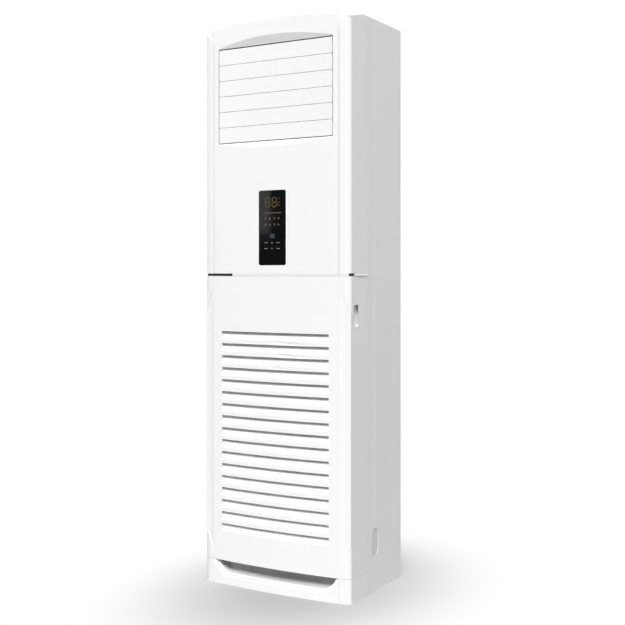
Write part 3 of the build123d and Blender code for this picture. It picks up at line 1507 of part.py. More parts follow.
def make_bell_mouth():
    """Front plate of the scroll with its flared inlet ring."""
    front = behind(scroll_front_setback)
    wall = bell_wall
    plate = prism_y(scroll_outline(bell_margin, partition_height - 1), front - scroll_wall, front)
    plate -= rod((wheel_centre_x, front - 5, wheel_centre_z), (0, 1, 0), inlet_radius, 10)
    cx = wheel_centre_x + inlet_radius
    edge_x = cx + bell_flare
    edge_y = front - bell_rise
    bend_x = cx + bell_flare * 0.3
    bend_y = front - bell_rise * 0.7
    inside_y = front + bell_inside
    flare_outer = ThreePointArc((edge_x, edge_y), (bend_x, bend_y), (cx, front))
    flare_inner = ThreePointArc((edge_x, edge_y - wall), (bend_x - wall * 0.75, bend_y - wall * 0.75),
                                (cx - wall, front))
    neck = Polyline((cx, front), (cx, inside_y), (cx - wall, inside_y), (cx - wall, front))
    section = outline(flare_outer, neck, flare_inner, Line((edge_x, edge_y - wall), (edge_x, edge_y)))
    axis = Axis((wheel_centre_x, 0, wheel_centre_z), (0, 1, 0))
    return plate + revolve(Pos(0, 0, wheel_centre_z) * section, axis=axis)


def wheel_blade_section():
    """One forward-curved blade of the wheel, drawn about the wheel's centre."""
    thick = 1.2
    inner = wheel_inner_radius + 0.5
    outer = wheel_radius - 0.5
    width = outer - inner
    outer_arc = ThreePointArc((inner, 0), (inner + width * 0.6, width * 0.15), (outer, width * 0.6))
    inner_arc = ThreePointArc((inner, thick), (inner + width * 0.55, width * 0.15 + thick),
                              (outer - thick, width * 0.6 + thick * 0.6))
    return outline(outer_arc, Line((outer, width * 0.6), (outer - thick, width * 0.6 + thick * 0.6)),
                   inner_arc, Line((inner, thick), (inner, 0)))


def make_blower_wheel():
    """Forward-curved centrifugal wheel: front ring, back disc with hub, and the blades between."""
    front = behind(wheel_front_setback)
    back = front + wheel_width
    centre = (wheel_centre_x, front, wheel_centre_z)
    ring_width = wheel_ring_width
    disc = wheel_disc
    wheel = rod(centre, (0, 1, 0), wheel_radius, ring_width)
    wheel -= rod(centre, (0, 1, 0), wheel_inner_radius, ring_width)
    wheel += rod((wheel_centre_x, back - disc, wheel_centre_z), (0, 1, 0), wheel_radius, disc)
    hub_start = back - hub_front_length
    wheel += rod((wheel_centre_x, hub_start, wheel_centre_z), (0, 1, 0), hub_radius, hub_length)
    place = Pos(wheel_centre_x, wheel_centre_z)
    blades = []
    for index in range(wheel_blades):
        section = place * Rot(0, 0, index * 360 / wheel_blades) * wheel_blade_section()
        blades.append(prism_y(section, front + ring_width / 2, back - disc / 2))
    wheel = wheel + blades
    bore = shaft_radius + shaft_clearance
    return wheel - rod((wheel_centre_x, back - 30, wheel_centre_z), (0, 1, 0), bore, 60)


def motor_front_y():
    """Depth of the mount plate's rear face, where the motor's flange sits."""
    return behind(scroll_back_setback) + motor_stand_off


def make_motor_shaft():
    """Motor shaft with the nut that holds the wheel."""
    wheel_back = behind(wheel_front_setback + wheel_width)
    start = wheel_back - shaft_end_length
    end = motor_front_y() + motor_length - 4
    shaft = rod((wheel_centre_x, start, wheel_centre_z), (0, 1, 0), shaft_radius, end - start)
    nut = Pos(wheel_centre_x, wheel_centre_z) * RegularPolygon(nut_radius, 6)
    nut_back = wheel_back - hub_front_length - 0.2
    return shaft + prism_y(nut, nut_back - nut_height, nut_back)


def make_blower_motor():
    """Fan motor: flange, finned can and rear boss, with a running bore for the shaft."""
    front = motor_front_y()
    centre = (wheel_centre_x, front, wheel_centre_z)
    motor = rod(centre, (0, 1, 0), motor_radius, motor_length)
    for index in range(5):
        y = front + motor_groove_first + index * motor_groove_pitch
        core = motor_radius - motor_groove_depth
        groove = rod((wheel_centre_x, y, wheel_centre_z), (0, 1, 0), motor_radius + 1, motor_groove_width)
        groove -= rod((wheel_centre_x, y - 1, wheel_centre_z), (0, 1, 0), core, motor_groove_width + 2)
        motor -= groove
    half = motor_flange_half
    motor += block((wheel_centre_x - half, front, wheel_centre_z - half),
                   (wheel_centre_x + half, front + motor_flange_thickness, wheel_centre_z + half))
    boss_start = (wheel_centre_x, front + motor_length, wheel_centre_z)
    motor += rod(boss_start, (0, 1, 0), motor_boss_radius, motor_boss_length)
    bore = shaft_radius + shaft_clearance
    return motor - rod((wheel_centre_x, front - 1, wheel_centre_z), (0, 1, 0), bore, motor_length - 2)


def make_motor_mount():
    """Folded steel stand on the base pan that carries the motor."""
    back = motor_front_y()
    front = back - mount_plate
    end = rear_clear_y()
    top = wheel_centre_z + mount_top_rise
    foot_top = pan_sheet + mount_plate
    low_x = wheel_centre_x - mount_half_width
    high_x = wheel_centre_x + mount_half_width
    mount = block((low_x, front, pan_sheet), (high_x, back, top))
    mount += block((low_x, back - 1, pan_sheet), (low_x + 2, end, top))
    mount += block((high_x - 2, back - 1, pan_sheet), (high_x, end, top))
    mount += block((low_x - mount_foot, front, pan_sheet), (low_x + 1, end, foot_top))
    mount += block((high_x - 1, front, pan_sheet), (high_x + mount_foot, end, foot_top))
    return mount - rod((wheel_centre_x, front - 1, wheel_centre_z), (0, 1, 0), mount_hole_radius, 10)


# ---------------------------------------------------------------- electric box
def make_electric_box():
    """Steel tray for the electric parts, open towards the front."""
    near = behind(electric_front_setback)
    far = behind(coil_cover_setback)
    box = block((-electric_half_width, near, electric_bottom), (electric_half_width, far, electric_top))
    return box - block((-electric_half_width + sheet, near - 1, electric_bottom + sheet),
                       (electric_half_width - sheet, far - sheet, electric_top - sheet))


def make_electric_box_cover():
    """Lid of the electric box, with a row of vent slots."""
    far = behind(electric_front_setback)
    near = far - sheet
    lid = block((-electric_half_width, near, electric_bottom), (electric_half_width, far, electric_top))
    count = int(2 * electric_half_width / vent_pitch) - 2
    for index in range(count):
        x = (index - (count - 1) / 2) * vent_pitch
        slot = Pos(x, electric_top - vent_drop) * SlotOverall(vent_length, vent_width)
        lid -= prism_y(slot, near - 1, far + 1)
    return lid


def terminal_left():
    """Left end of the terminal block."""
    return electric_half_width - terminal_margin - terminal_width


def make_control_board():
    """Control board on its posts, with relays, a capacitor and a transformer."""
    far = behind(coil_cover_setback) - sheet
    near = far - board_post_height
    low = electric_bottom + board_margin_z
    high = electric_top - board_margin_z
    left = -electric_half_width + board_margin_x
    right = terminal_left() - board_terminal_gap
    board = block((left, near, low), (right, near + board_thickness, high))
    for x in (left + board_post_inset, right - board_post_inset):
        for z in (low + board_post_inset, high - board_post_inset):
            board += rod((x, near + 1, z), (0, 1, 0), board_post_radius, far - near - 1)
    x = left + relay_width
    board += block((x, near - transformer_depth, low + board_post_height),
                   (x + transformer_width, near + 1, low + board_post_height + transformer_height))
    first = x + transformer_width + relay_width
    for index in range(3):
        x = first + index * relay_pitch
        board += block((x, near - relay_depth, high - 1.5 * relay_width),
                       (x + relay_width, near + 1, high - 0.5 * relay_width))
    board += block((first, near - chip_depth, low + chip_depth),
                   (first + chip_width, near + 1, low + chip_depth + chip_height))
    x = right - transformer_width
    start = (x, near - capacitor_length, low + capacitor_length)
    return board + rod(start, (0, 1, 0), capacitor_radius, capacitor_length + 1)


def make_terminal_block():
    """Mains terminal block with its clamp screws."""
    far = behind(coil_cover_setback) - sheet
    low = electric_bottom + terminal_rise
    left = terminal_left()
    near = far - terminal_depth
    terminals = block((left, near, low), (left + terminal_width, far, low + terminal_height))
    for index in range(int(terminal_width / terminal_pitch)):
        start = (left + (index + 0.5) * terminal_pitch, near - 1, low + terminal_height / 2)
        terminals -= rod(start, (0, 1, 0), terminal_screw_radius, terminal_screw_radius + 1)
    return terminals


# ---------------------------------------------------------------- write every piece
def make_nodes():
    """Every piece of the air conditioner by name."""
    nodes = {
        "base_pan": make_base_pan(),
        "plinth_cover": make_plinth_cover(),
        "side_panel_left": make_side_panel(-1),
        "side_panel_right": make_side_panel(1),
        "rear_panel": make_rear_panel(),
        "top_cover": make_top_cover(),
        "upper_front_panel": make_upper_front_panel(),
        "seam_strip": make_seam_strip(),
        "lower_front_panel": make_lower_front_panel(),
        "panel_catches": make_panel_catches(),
        "filter_frame": make_filter_frame(),
        "filter_mesh": make_filter_mesh(),
        "display_lens": make_display_lens(),
        "display_board": make_display_board(),
        "louvre_link_bar": make_link_bar(),
        "louvre_motor": make_louvre_motor(),
        "vane_tie_rod": make_tie_rod(),
        "swing_motor": make_swing_motor(),
        "outlet_duct": make_outlet_duct(),
        "foam_liner": make_foam_liner(),
        "evaporator_fins": make_evaporator_fins(),
        "evaporator_tubes": make_evaporator_tubes(),
        "evaporator_end_plates": make_end_plates(),
        "drain_pan": make_drain_pan(),
        "drain_pipe": make_drain_pipe(),
        "refrigerant_pipes": make_refrigerant_pipes(),
        "partition_plate": make_partition_plate(),
        "coil_cover": make_coil_cover(),
        "scroll_casing": make_scroll_casing(),
        "bell_mouth": make_bell_mouth(),
        "blower_wheel": make_blower_wheel(),
        "motor_shaft": make_motor_shaft(),
        "blower_motor": make_blower_motor(),
        "motor_mount": make_motor_mount(),
        "electric_box": make_electric_box(),
        "electric_box_cover": make_electric_box_cover(),
        "control_board": make_control_board(),
        "terminal_block": make_terminal_block(),
        "pipe_hole_covers": make_pipe_hole_covers(),
        "rear_rings": make_rear_rings(),
        "cabinet_screws": make_cabinet_screws(),
        "wall_bracket": make_wall_bracket(),
    }
    for name, x, z in key_places():
        nodes[name] = make_key(x, z)
    for index in range(blade_count):
        nodes[f"louvre_blade_{index + 1}"] = make_blade(index)
    for index in range(vane_count):
        nodes[f"air_vane_{index + 1}"] = make_vane(index)
    return nodes


def write_nodes():
    """Write one file for each piece; pieces made of several solids are kept as a group."""
    os.makedirs("parts", exist_ok=True)
    for name, shape in make_nodes().items():
        if isinstance(shape, list):
            shape = Compound(children=[Compound(piece.solids()) for piece in shape])
        export_step(shape, f"parts/{name}.step")


write_nodes()
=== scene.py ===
import bpy
import math
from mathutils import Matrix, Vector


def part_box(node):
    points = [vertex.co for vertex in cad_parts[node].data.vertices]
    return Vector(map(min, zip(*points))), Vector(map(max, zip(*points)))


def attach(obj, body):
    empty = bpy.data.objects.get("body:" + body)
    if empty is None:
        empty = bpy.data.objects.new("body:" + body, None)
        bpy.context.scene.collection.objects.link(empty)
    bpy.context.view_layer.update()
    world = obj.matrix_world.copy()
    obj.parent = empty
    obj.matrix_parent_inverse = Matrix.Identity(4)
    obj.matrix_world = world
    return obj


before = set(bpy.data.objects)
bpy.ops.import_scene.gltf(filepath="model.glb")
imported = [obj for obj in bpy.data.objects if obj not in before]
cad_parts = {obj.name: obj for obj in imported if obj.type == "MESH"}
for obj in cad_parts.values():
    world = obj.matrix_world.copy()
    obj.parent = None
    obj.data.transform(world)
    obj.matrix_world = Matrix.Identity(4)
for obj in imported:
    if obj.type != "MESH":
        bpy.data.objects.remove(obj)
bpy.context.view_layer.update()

# The photograph's view: a level camera three and a half metres off, turned 30 degrees round to the
# cabinet's right, with its frame shifted down instead of tilted.
camera = bpy.data.objects.new("camera", bpy.data.cameras.new("camera"))
camera.data.lens = 61.23
camera.data.sensor_width = 36
camera.data.shift_y = -0.0606
camera.location = (1.8057, -3.0003, 1.0018)
camera.rotation_euler = (math.radians(90), 0, math.radians(30.4936))
bpy.context.scene.collection.objects.link(camera)
bpy.context.scene.camera = camera
bpy.context.scene.view_settings.view_transform = "Standard"


# Pale studio floor: seamless matt paper. Close to the cabinet it catches the soft contact shadow; its grey
# colour, seen by the camera only in an oval round the cabinet, is painted shadow on top. Further out it
# runs into a plain white background.
def new_material(name):
    material = bpy.data.materials.new(name)
    material.use_nodes = True
    nodes = material.node_tree.nodes
    nodes.clear()
    return material, nodes, material.node_tree.links


def mesh_object(name, points, faces):
    mesh = bpy.data.meshes.new(name)
    mesh.from_pydata(points, [], faces)
    mesh.validate()
    piece = bpy.data.objects.new(name, mesh)
    bpy.context.scene.collection.objects.link(piece)
    return piece


def feed(links, socket, value):
    if isinstance(value, bpy.types.NodeSocket):
        links.new(value, socket)
    else:
        socket.default_value = value


def math_node(nodes, links, operation, *values):
    node = nodes.new("ShaderNodeMath")
    node.operation = operation
    for socket, value in zip(node.inputs, values):
        feed(links, socket, value)
    return node.outputs["Value"]


def vector_node(nodes, links, operation, result, *values):
    node = nodes.new("ShaderNodeVectorMath")
    node.operation = operation
    for socket, value in zip(node.inputs, values):
        feed(links, socket, value)
    return node.outputs[result]


def spread(nodes, links, value, low, high, from_low=0.3, from_high=0.7, curve="LINEAR"):
    ramp = nodes.new("ShaderNodeMapRange")
    ramp.interpolation_type = curve
    for socket, number in (("Value", value), ("From Min", from_low), ("From Max", from_high),
                           ("To Min", low), ("To Max", high)):
        feed(links, ramp.inputs[socket], number)
    return ramp.outputs["Result"]


def mix_shaders(nodes, links, factor, first, second, output):
    mix = nodes.new("ShaderNodeMixShader")
    for socket, value in zip(mix.inputs, (factor, first, second)):
        links.new(value, socket)
    links.new(mix.outputs["Shader"], nodes.new(output).inputs["Surface"])


floor_reach = 14.0
# Oval of painted shadow: inside it the camera sees the grey paper, which fades to white towards its rim.
painted_shadow_middle = (0.05, -0.06, 0.0)
painted_shadow_radii = (0.62, 0.85, 1.0)
painted_shadow_fade_start = 0.1
floor = mesh_object("studio_floor",
                    [(-floor_reach, -floor_reach, 0), (floor_reach, -floor_reach, 0),
                     (floor_reach, floor_reach, 0), (-floor_reach, floor_reach, 0)], [(0, 1, 2, 3)])
material, nodes, links = new_material("studio_floor")
point = nodes.new("ShaderNodeNewGeometry").outputs["Position"]
offset = vector_node(nodes, links, "SUBTRACT", "Vector", point, painted_shadow_middle)
oval = vector_node(nodes, links, "DIVIDE", "Vector", offset, painted_shadow_radii)
distance = vector_node(nodes, links, "LENGTH", "Value", oval)
fade = spread(nodes, links, distance, 0.0, 1.0, painted_shadow_fade_start, 1.0, "SMOOTHSTEP")
camera_ray = nodes.new("ShaderNodeLightPath").outputs["Is Camera Ray"]
seen_white = math_node(nodes, links, "MULTIPLY", fade, camera_ray)
paper = nodes.new("ShaderNodeBsdfDiffuse")
paper.inputs["Color"].default_value = (0.45, 0.45, 0.45, 1)
white = nodes.new("ShaderNodeEmission")
white.inputs["Color"].default_value = (1, 1, 1, 1)
white.inputs["Strength"].default_value = 1.0
mix_shaders(nodes, links, seen_white, paper.outputs["BSDF"], white.outputs["Emission"],
            "ShaderNodeOutputMaterial")
floor.data.materials.append(material)

# Soft studio light: a broad key light high in front and to the right, a large soft box at the left
# that the display mirrors, and a wide one overhead. The white surround lights weakly, and mirrored
# it is dark at the front left.
world = bpy.data.worlds.new("surround")
world.use_nodes = True
bpy.context.scene.world = world
nodes = world.node_tree.nodes
links = world.node_tree.links
nodes.clear()
front_left = (-0.545, -0.838, 0.0)
dark_from = 0.70
dark_full = 0.93
darkest = 0.97
ray = nodes.new("ShaderNodeLightPath").outputs
sky = nodes.new("ShaderNodeTexCoord").outputs["Generated"]
toward_left = vector_node(nodes, links, "DOT_PRODUCT", "Value", sky, front_left)
dark_patch = spread(nodes, links, toward_left, 0.0, darkest, dark_from, dark_full, "SMOOTHSTEP")
mirrored_dark = math_node(nodes, links, "MULTIPLY", ray["Is Glossy Ray"], dark_patch)
backdrop_level = math_node(nodes, links, "SUBTRACT", 1.0, mirrored_dark)
seen_or_through = math_node(nodes, links, "MAXIMUM", ray["Is Camera Ray"], ray["Is Transmission Ray"])
white_rays = math_node(nodes, links, "MAXIMUM", seen_or_through, ray["Is Glossy Ray"])
fill = nodes.new("ShaderNodeBackground")
backdrop = nodes.new("ShaderNodeBackground")
for background, strength in ((fill, 0.20), (backdrop, backdrop_level)):
    background.inputs["Color"].default_value = (1, 1, 1, 1)
    feed(links, background.inputs["Strength"], strength)
mix_shaders(nodes, links, white_rays, fill.outputs["Background"], backdrop.outputs["Background"],
            "ShaderNodeOutputWorld")


def soft_box(name, place, target, width, height, power):
    light = bpy.data.lights.new(name, "AREA")
    light.shape = "RECTANGLE"
    light.size = width
    light.size_y = height
    light.energy = power
    holder = bpy.data.objects.new(name, light)
    holder.location = place
    aim = [t - p for t, p in zip(target, place)]
    holder.rotation_euler = (math.atan2(math.hypot(aim[0], aim[1]), -aim[2]), 0,
                             math.atan2(aim[1], aim[0]) - math.pi / 2)
    bpy.context.scene.collection.objects.link(holder)


soft_box("left_light", (-2.9, -2.35, 2.58), target=(0, 0, 2.58), width=2.6, height=2.6, power=18)
soft_box("top_light", (0.3, 0.0, 4.6), target=(0, 0, 0.9), width=3.0, height=3.0, power=30)
sun = bpy.data.lights.new("key_light", "SUN")
sun.energy = 3.3
sun.angle = math.radians(24)
key_light = bpy.data.objects.new("key_light", sun)
key_light.rotation_euler = (math.radians(44), 0, math.radians(25))
bpy.context.scene.collection.objects.link(key_light)


# Front panels, seam strip, plinth cover and louvre blades: white ABS, injection moulded in a finely
# spark-eroded tool, so the gloss is soft; handling leaves it a little more matt in places. In the
# grooves beside the panels' bowed faces the colour is darkened to a dark grey as painted shade.
def shader_group(name, inputs, outputs):
    group = bpy.data.node_groups.new(name, "ShaderNodeTree")
    for socket, value in inputs:
        made = group.interface.new_socket(socket, in_out="INPUT", socket_type="NodeSocketFloat")
        made.default_value = value
    for socket in outputs:
        group.interface.new_socket(socket, in_out="OUTPUT", socket_type="NodeSocketFloat")
    return group, group.nodes.new("NodeGroupInput").outputs, group.nodes.new("NodeGroupOutput").inputs


def object_coordinates(nodes):
    return nodes.new("ShaderNodeTexCoord").outputs["Object"]


def split_xyz(nodes, links, vector):
    node = nodes.new("ShaderNodeSeparateXYZ")
    links.new(vector, node.inputs["Vector"])
    return node.outputs


def noise(nodes, links, coordinates, scale, detail=2.0, rough=0.5):
    texture = nodes.new("ShaderNodeTexNoise")
    for socket, value in (("Vector", coordinates), ("Scale", scale), ("Detail", detail),
                          ("Roughness", rough)):
        feed(links, texture.inputs[socket], value)
    return texture.outputs["Fac"]


def blend_colours(nodes, links, mask, first, second):
    mixer = nodes.new("ShaderNodeMix")
    mixer.data_type = "RGBA"
    links.new(mask, mixer.inputs["Factor"])
    colour_inputs = [socket for socket in mixer.inputs if socket.type == "RGBA"]
    for socket, colour in zip(colour_inputs, (first, second)):
        feed(links, socket, (*colour, 1) if isinstance(colour, tuple) else colour)
    return next(socket for socket in mixer.outputs if socket.type == "RGBA")


grain_group, grain_in, grain_out = shader_group(
    "moulded_grain", [("Scale", 1400.0), ("Patch Scale", 7.0)], ["Height", "Patches"])
nodes = grain_group.nodes
links = grain_group.links
coordinates = object_coordinates(nodes)
fine = noise(nodes, links, coordinates, grain_in["Scale"], detail=3.0, rough=0.6)
patches = noise(nodes, links, coordinates, grain_in["Patch Scale"], detail=4.0, rough=0.55)
links.new(fine, grain_out["Height"])
links.new(patches, grain_out["Patches"])

dust_group, dust_in, dust_out = shader_group(
    "settled_dust", [("Height", 0.5), ("Amount", 0.5)], ["Mask"])
nodes = dust_group.nodes
links = dust_group.links
coordinates = object_coordinates(nodes)
normal = nodes.new("ShaderNodeNewGeometry").outputs["Normal"]
facing_up = spread(nodes, links, split_xyz(nodes, links, normal)["Z"], 0.0, 1.0, 0.2, 0.9)
height = split_xyz(nodes, links, coordinates)["Z"]
near_floor = spread(nodes, links, height, 1.0, 0.0, 0.0, dust_in["Height"])
resting = math_node(nodes, links, "MAXIMUM", facing_up, near_floor)
cloud = noise(nodes, links, coordinates, 38.0, detail=5.0, rough=0.62)
patchy = math_node(nodes, links, "MULTIPLY", resting, spread(nodes, links, cloud, 0.2, 1.0, 0.35, 0.7))
amount = math_node(nodes, links, "MULTIPLY", patchy, dust_in["Amount"])
links.new(amount, dust_out["Mask"])

# Y of the bowed face's side edges, in front of which no groove lies.
face_edge_y = -0.172
# Painted shade: mask of the narrow grooves beside the bowed face, inside which the colour is darkened.
groove_shade_group, groove_shade_in, groove_shade_out = shader_group(
    "groove_painted_shade", [("Groove X", 0.2332), ("Half Width", 0.0009), ("Face Y", face_edge_y)], ["Mask"])
nodes = groove_shade_group.nodes
links = groove_shade_group.links
place = split_xyz(nodes, links, object_coordinates(nodes))
either_side = math_node(nodes, links, "ABSOLUTE", place["X"])
off_groove = math_node(nodes, links, "SUBTRACT", either_side, groove_shade_in["Groove X"])
beside = math_node(nodes, links, "ABSOLUTE", off_groove)
in_width = math_node(nodes, links, "LESS_THAN", beside, groove_shade_in["Half Width"])
below_face = math_node(nodes, links, "SUBTRACT", place["Y"], groove_shade_in["Face Y"])
deep = spread(nodes, links, below_face, 0.0, 1.0, 0.0001, 0.0006)
in_groove = math_node(nodes, links, "MULTIPLY", in_width, deep)
links.new(in_groove, groove_shade_out["Mask"])


def place_group(nodes, group, **values):
    node = nodes.new("ShaderNodeGroup")
    node.node_tree = group
    for socket, value in values.items():
        node.inputs[socket.replace("_", " ")].default_value = value
    return node.outputs


def principled(nodes, links, colour, roughness, height, strength, distance=0.0002, **plain):
    shader = nodes.new("ShaderNodeBsdfPrincipled")
    output = nodes.new("ShaderNodeOutputMaterial")
    links.new(shader.outputs["BSDF"], output.inputs["Surface"])
    links.new(colour, shader.inputs["Base Color"])
    links.new(roughness, shader.inputs["Roughness"])
    bump = nodes.new("ShaderNodeBump")
    bump.inputs["Strength"].default_value = strength
    bump.inputs["Distance"].default_value = distance
    links.new(height, bump.inputs["Height"])
    links.new(bump.outputs["Normal"], shader.inputs["Normal"])
    for socket, value in plain.items():
        shader.inputs[socket.replace("_", " ")].default_value = value
    return shader


def moulded_plastic(name, bright, dull, dusty, gloss, matt, grain, relief, dust, groove_shade_colour=None):
    material, nodes, links = new_material(name)
    surface = place_group(nodes, grain_group, Scale=grain)
    settled = place_group(nodes, dust_group, Height=0.25, Amount=dust)
    tone = blend_colours(nodes, links, surface["Patches"], bright, dull)
    colour = blend_colours(nodes, links, settled["Mask"], tone, dusty)
    # Painted shade: darken the grooves to the given dark grey.
    if groove_shade_colour:
        groove_shade_mask = place_group(nodes, groove_shade_group)
        colour = blend_colours(nodes, links, groove_shade_mask["Mask"], colour, groove_shade_colour)
    roughness = spread(nodes, links, surface["Patches"], gloss, matt)
    principled(nodes, links, colour, roughness, surface["Height"], relief)
    return material


def dress(names, material):
    for name in names:
        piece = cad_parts[name]
        piece.data.materials.clear()
        piece.data.materials.append(material)


white_abs = {"bright": (0.90, 0.905, 0.905), "dull": (0.885, 0.89, 0.89), "dusty": (0.80, 0.79, 0.77),
             "gloss": 0.30, "matt": 0.38, "grain": 1500.0, "relief": 0.05, "dust": 0.10}
white_plastic = moulded_plastic("white_plastic", **white_abs)
face_plastic = moulded_plastic("face_plastic", **white_abs, groove_shade_colour=(0.30, 0.295, 0.28))
dress(["upper_front_panel", "lower_front_panel"], face_plastic)
dress(["seam_strip", "plinth_cover", "louvre_link_bar"], white_plastic)
dress([f"louvre_blade_{number}" for number in range(1, 7)], white_plastic)

# Sides, lid and base pan: folded steel sheet, powder coated white, with the fine orange peel of
# baked powder; screwed together from behind.
peel_group, peel_in, peel_out = shader_group("orange_peel", [("Scale", 420.0)], ["Height", "Tone"])
nodes = peel_group.nodes
links = peel_group.links
coordinates = object_coordinates(nodes)
links.new(noise(nodes, links, coordinates, peel_in["Scale"], detail=1.5, rough=0.45), peel_out["Height"])
links.new(noise(nodes, links, coordinates, 5.0, detail=3.0), peel_out["Tone"])
material, nodes, links = new_material("white_paint")
surface = place_group(nodes, peel_group, Scale=420.0)
settled = place_group(nodes, dust_group, Height=0.2, Amount=0.12)
tone = blend_colours(nodes, links, surface["Tone"], (0.875, 0.88, 0.88), (0.86, 0.865, 0.865))
colour = blend_colours(nodes, links, settled["Mask"], tone, (0.76, 0.75, 0.73))
roughness = spread(nodes, links, surface["Tone"], 0.36, 0.44)
principled(nodes, links, colour, roughness, surface["Height"], 0.10)
dress(["side_panel_left", "side_panel_right", "top_cover", "base_pan"], material)

# Pipe hole covers: moulded in a slightly greyer white than the panels and snapped into the oval holes
# in the sides.
cover_plastic = moulded_plastic("cover_plastic", (0.74, 0.745, 0.745), (0.70, 0.705, 0.705),
                                (0.62, 0.61, 0.59), gloss=0.42, matt=0.50, grain=1500.0, relief=0.05,
                                dust=0.10)
dress(["pipe_hole_covers"], cover_plastic)

# Back, chassis plates, blower casing and electric box: pressed and folded galvanised sheet, left
# bare, with the soft spangle of hot-dipped zinc; spot-welded and screwed into the cabinet. Screws,
# shaft and small motors are zinc plated, with a finer grain.
spangle_group, spangle_in, spangle_out = shader_group(
    "zinc_spangle", [("Scale", 90.0)], ["Tone", "Height"])
nodes = spangle_group.nodes
links = spangle_group.links
coordinates = object_coordinates(nodes)
crystals = nodes.new("ShaderNodeTexVoronoi")
links.new(coordinates, crystals.inputs["Vector"])
links.new(spangle_in["Scale"], crystals.inputs["Scale"])
grey = nodes.new("ShaderNodeRGBToBW")
links.new(crystals.outputs["Color"], grey.inputs["Color"])
links.new(grey.outputs["Val"], spangle_out["Tone"])
links.new(noise(nodes, links, coordinates, 260.0, detail=3.0), spangle_out["Height"])


def zinc_coated(name, bright, dull, scale):
    material, nodes, links = new_material(name)
    surface = place_group(nodes, spangle_group, Scale=scale)
    colour = blend_colours(nodes, links, surface["Tone"], bright, dull)
    roughness = spread(nodes, links, surface["Tone"], 0.34, 0.50, from_low=0.0, from_high=1.0)
    principled(nodes, links, colour, roughness, surface["Height"], 0.05, Metallic=1.0)
    return material


zinc_sheet = zinc_coated("zinc_sheet", (0.62, 0.64, 0.66), (0.52, 0.54, 0.56), 90.0)
dress(["rear_panel", "wall_bracket", "partition_plate", "coil_cover", "scroll_casing", "bell_mouth",
       "motor_mount", "electric_box", "electric_box_cover", "drain_pan", "evaporator_end_plates"],
      zinc_sheet)
zinc_plate = zinc_coated("zinc_plate", (0.70, 0.71, 0.72), (0.64, 0.65, 0.66), 700.0)
dress(["cabinet_screws", "louvre_motor", "swing_motor", "motor_shaft"], zinc_plate)

# Outlet duct, air vanes, tie rod, filter frame and drain pipe: parts out of sight, injection moulded
# in unpainted grey polypropylene; the vanes snap into the duct and the frame slides in its channels.
grey_plastic = moulded_plastic("grey_plastic", (0.42, 0.43, 0.44), (0.38, 0.39, 0.40),
                               (0.46, 0.45, 0.43), gloss=0.45, matt=0.58, grain=1200.0, relief=0.10,
                               dust=0.3)
dress(["outlet_duct", "vane_tie_rod", "filter_frame", "drain_pipe"], grey_plastic)
dress([f"air_vane_{number}" for number in range(1, 7)], grey_plastic)

# Blower wheel, panel catches and terminal block: moulded in black glass-filled nylon, slightly
# chalky; the wheel is keyed to its shaft, the catches are clipped in and the block is screwed down.
black_plastic = moulded_plastic("black_plastic", (0.030, 0.030, 0.031), (0.040, 0.040, 0.041),
                                (0.12, 0.115, 0.11), gloss=0.48, matt=0.62, grain=1100.0, relief=0.12,
                                dust=0.5)
dress(["blower_wheel", "panel_catches", "terminal_block"], black_plastic)

# Rings round the two service holes in the back: moulded black rubber with a dull bloom, sprung
# into the sheet so that its edge lies in their groove.
rubber = moulded_plastic("ring_rubber", (0.022, 0.022, 0.022), (0.032, 0.031, 0.030),
                         (0.10, 0.10, 0.095), gloss=0.62, matt=0.80, grain=800.0, relief=0.15, dust=0.5)
dress(["rear_rings"], rubber)

# Fan motor: ribbed aluminium can, dipped in black enamel and baked; its flange is bolted to the
# motor mount.
enamel = moulded_plastic("motor_enamel", (0.035, 0.037, 0.040), (0.050, 0.052, 0.055),
                         (0.14, 0.135, 0.13), gloss=0.30, matt=0.42, grain=300.0, relief=0.12, dust=0.4)
dress(["blower_motor"], enamel)

# Filter net: dark polypropylene mesh with dust caught on its threads, moulded into the filter
# frame along its edges.
filter_net = moulded_plastic("filter_net", (0.09, 0.10, 0.11), (0.12, 0.13, 0.14), (0.30, 0.29, 0.27),
                             gloss=0.60, matt=0.80, grain=1800.0, relief=0.3, dust=0.6)
dress(["filter_mesh"], filter_net)

# Duct liner: white polystyrene foam, steam moulded, so its beads show as a shallow cell pattern, each
# bead's colour darkening towards its rim as painted shade in the creases between beads; it is wedged
# between the duct and the back.
material, nodes, links = new_material("beaded_foam")
beads = nodes.new("ShaderNodeTexVoronoi")
beads.inputs["Scale"].default_value = 260.0
links.new(object_coordinates(nodes), beads.inputs["Vector"])
cells = beads.outputs["Distance"]
colour = blend_colours(nodes, links, cells, (0.80, 0.80, 0.78), (0.66, 0.66, 0.64))
roughness = spread(nodes, links, cells, 0.70, 0.90, from_low=0.0, from_high=1.0)
principled(nodes, links, colour, roughness, cells, 0.5, distance=0.0006)
dress(["foam_liner"], material)

# Coil: thin aluminium fins pressed onto the tubes at a close pitch, so the slab shows fine upright
# lines; the dark bands between them are painted shade for the gaps between the fins. Its end plates hold it
# on brackets above the drain pan.
material, nodes, links = new_material("fin_aluminium")
fins = nodes.new("ShaderNodeTexWave")
fins.wave_type = "BANDS"
fins.bands_direction = "X"
fins.inputs["Scale"].default_value = 170.0
fins.inputs["Distortion"].default_value = 0.4
links.new(object_coordinates(nodes), fins.inputs["Vector"])
fin_lines_and_gap_shade = fins.outputs["Fac"]
colour = blend_colours(nodes, links, fin_lines_and_gap_shade, (0.22, 0.23, 0.24), (0.75, 0.77, 0.79))
roughness = spread(nodes, links, fin_lines_and_gap_shade, 0.6, 0.32, from_low=0.0, from_high=1.0)
principled(nodes, links, colour, roughness, fin_lines_and_gap_shade, 0.6, distance=0.001, Metallic=1.0)
dress(["evaporator_fins"], material)

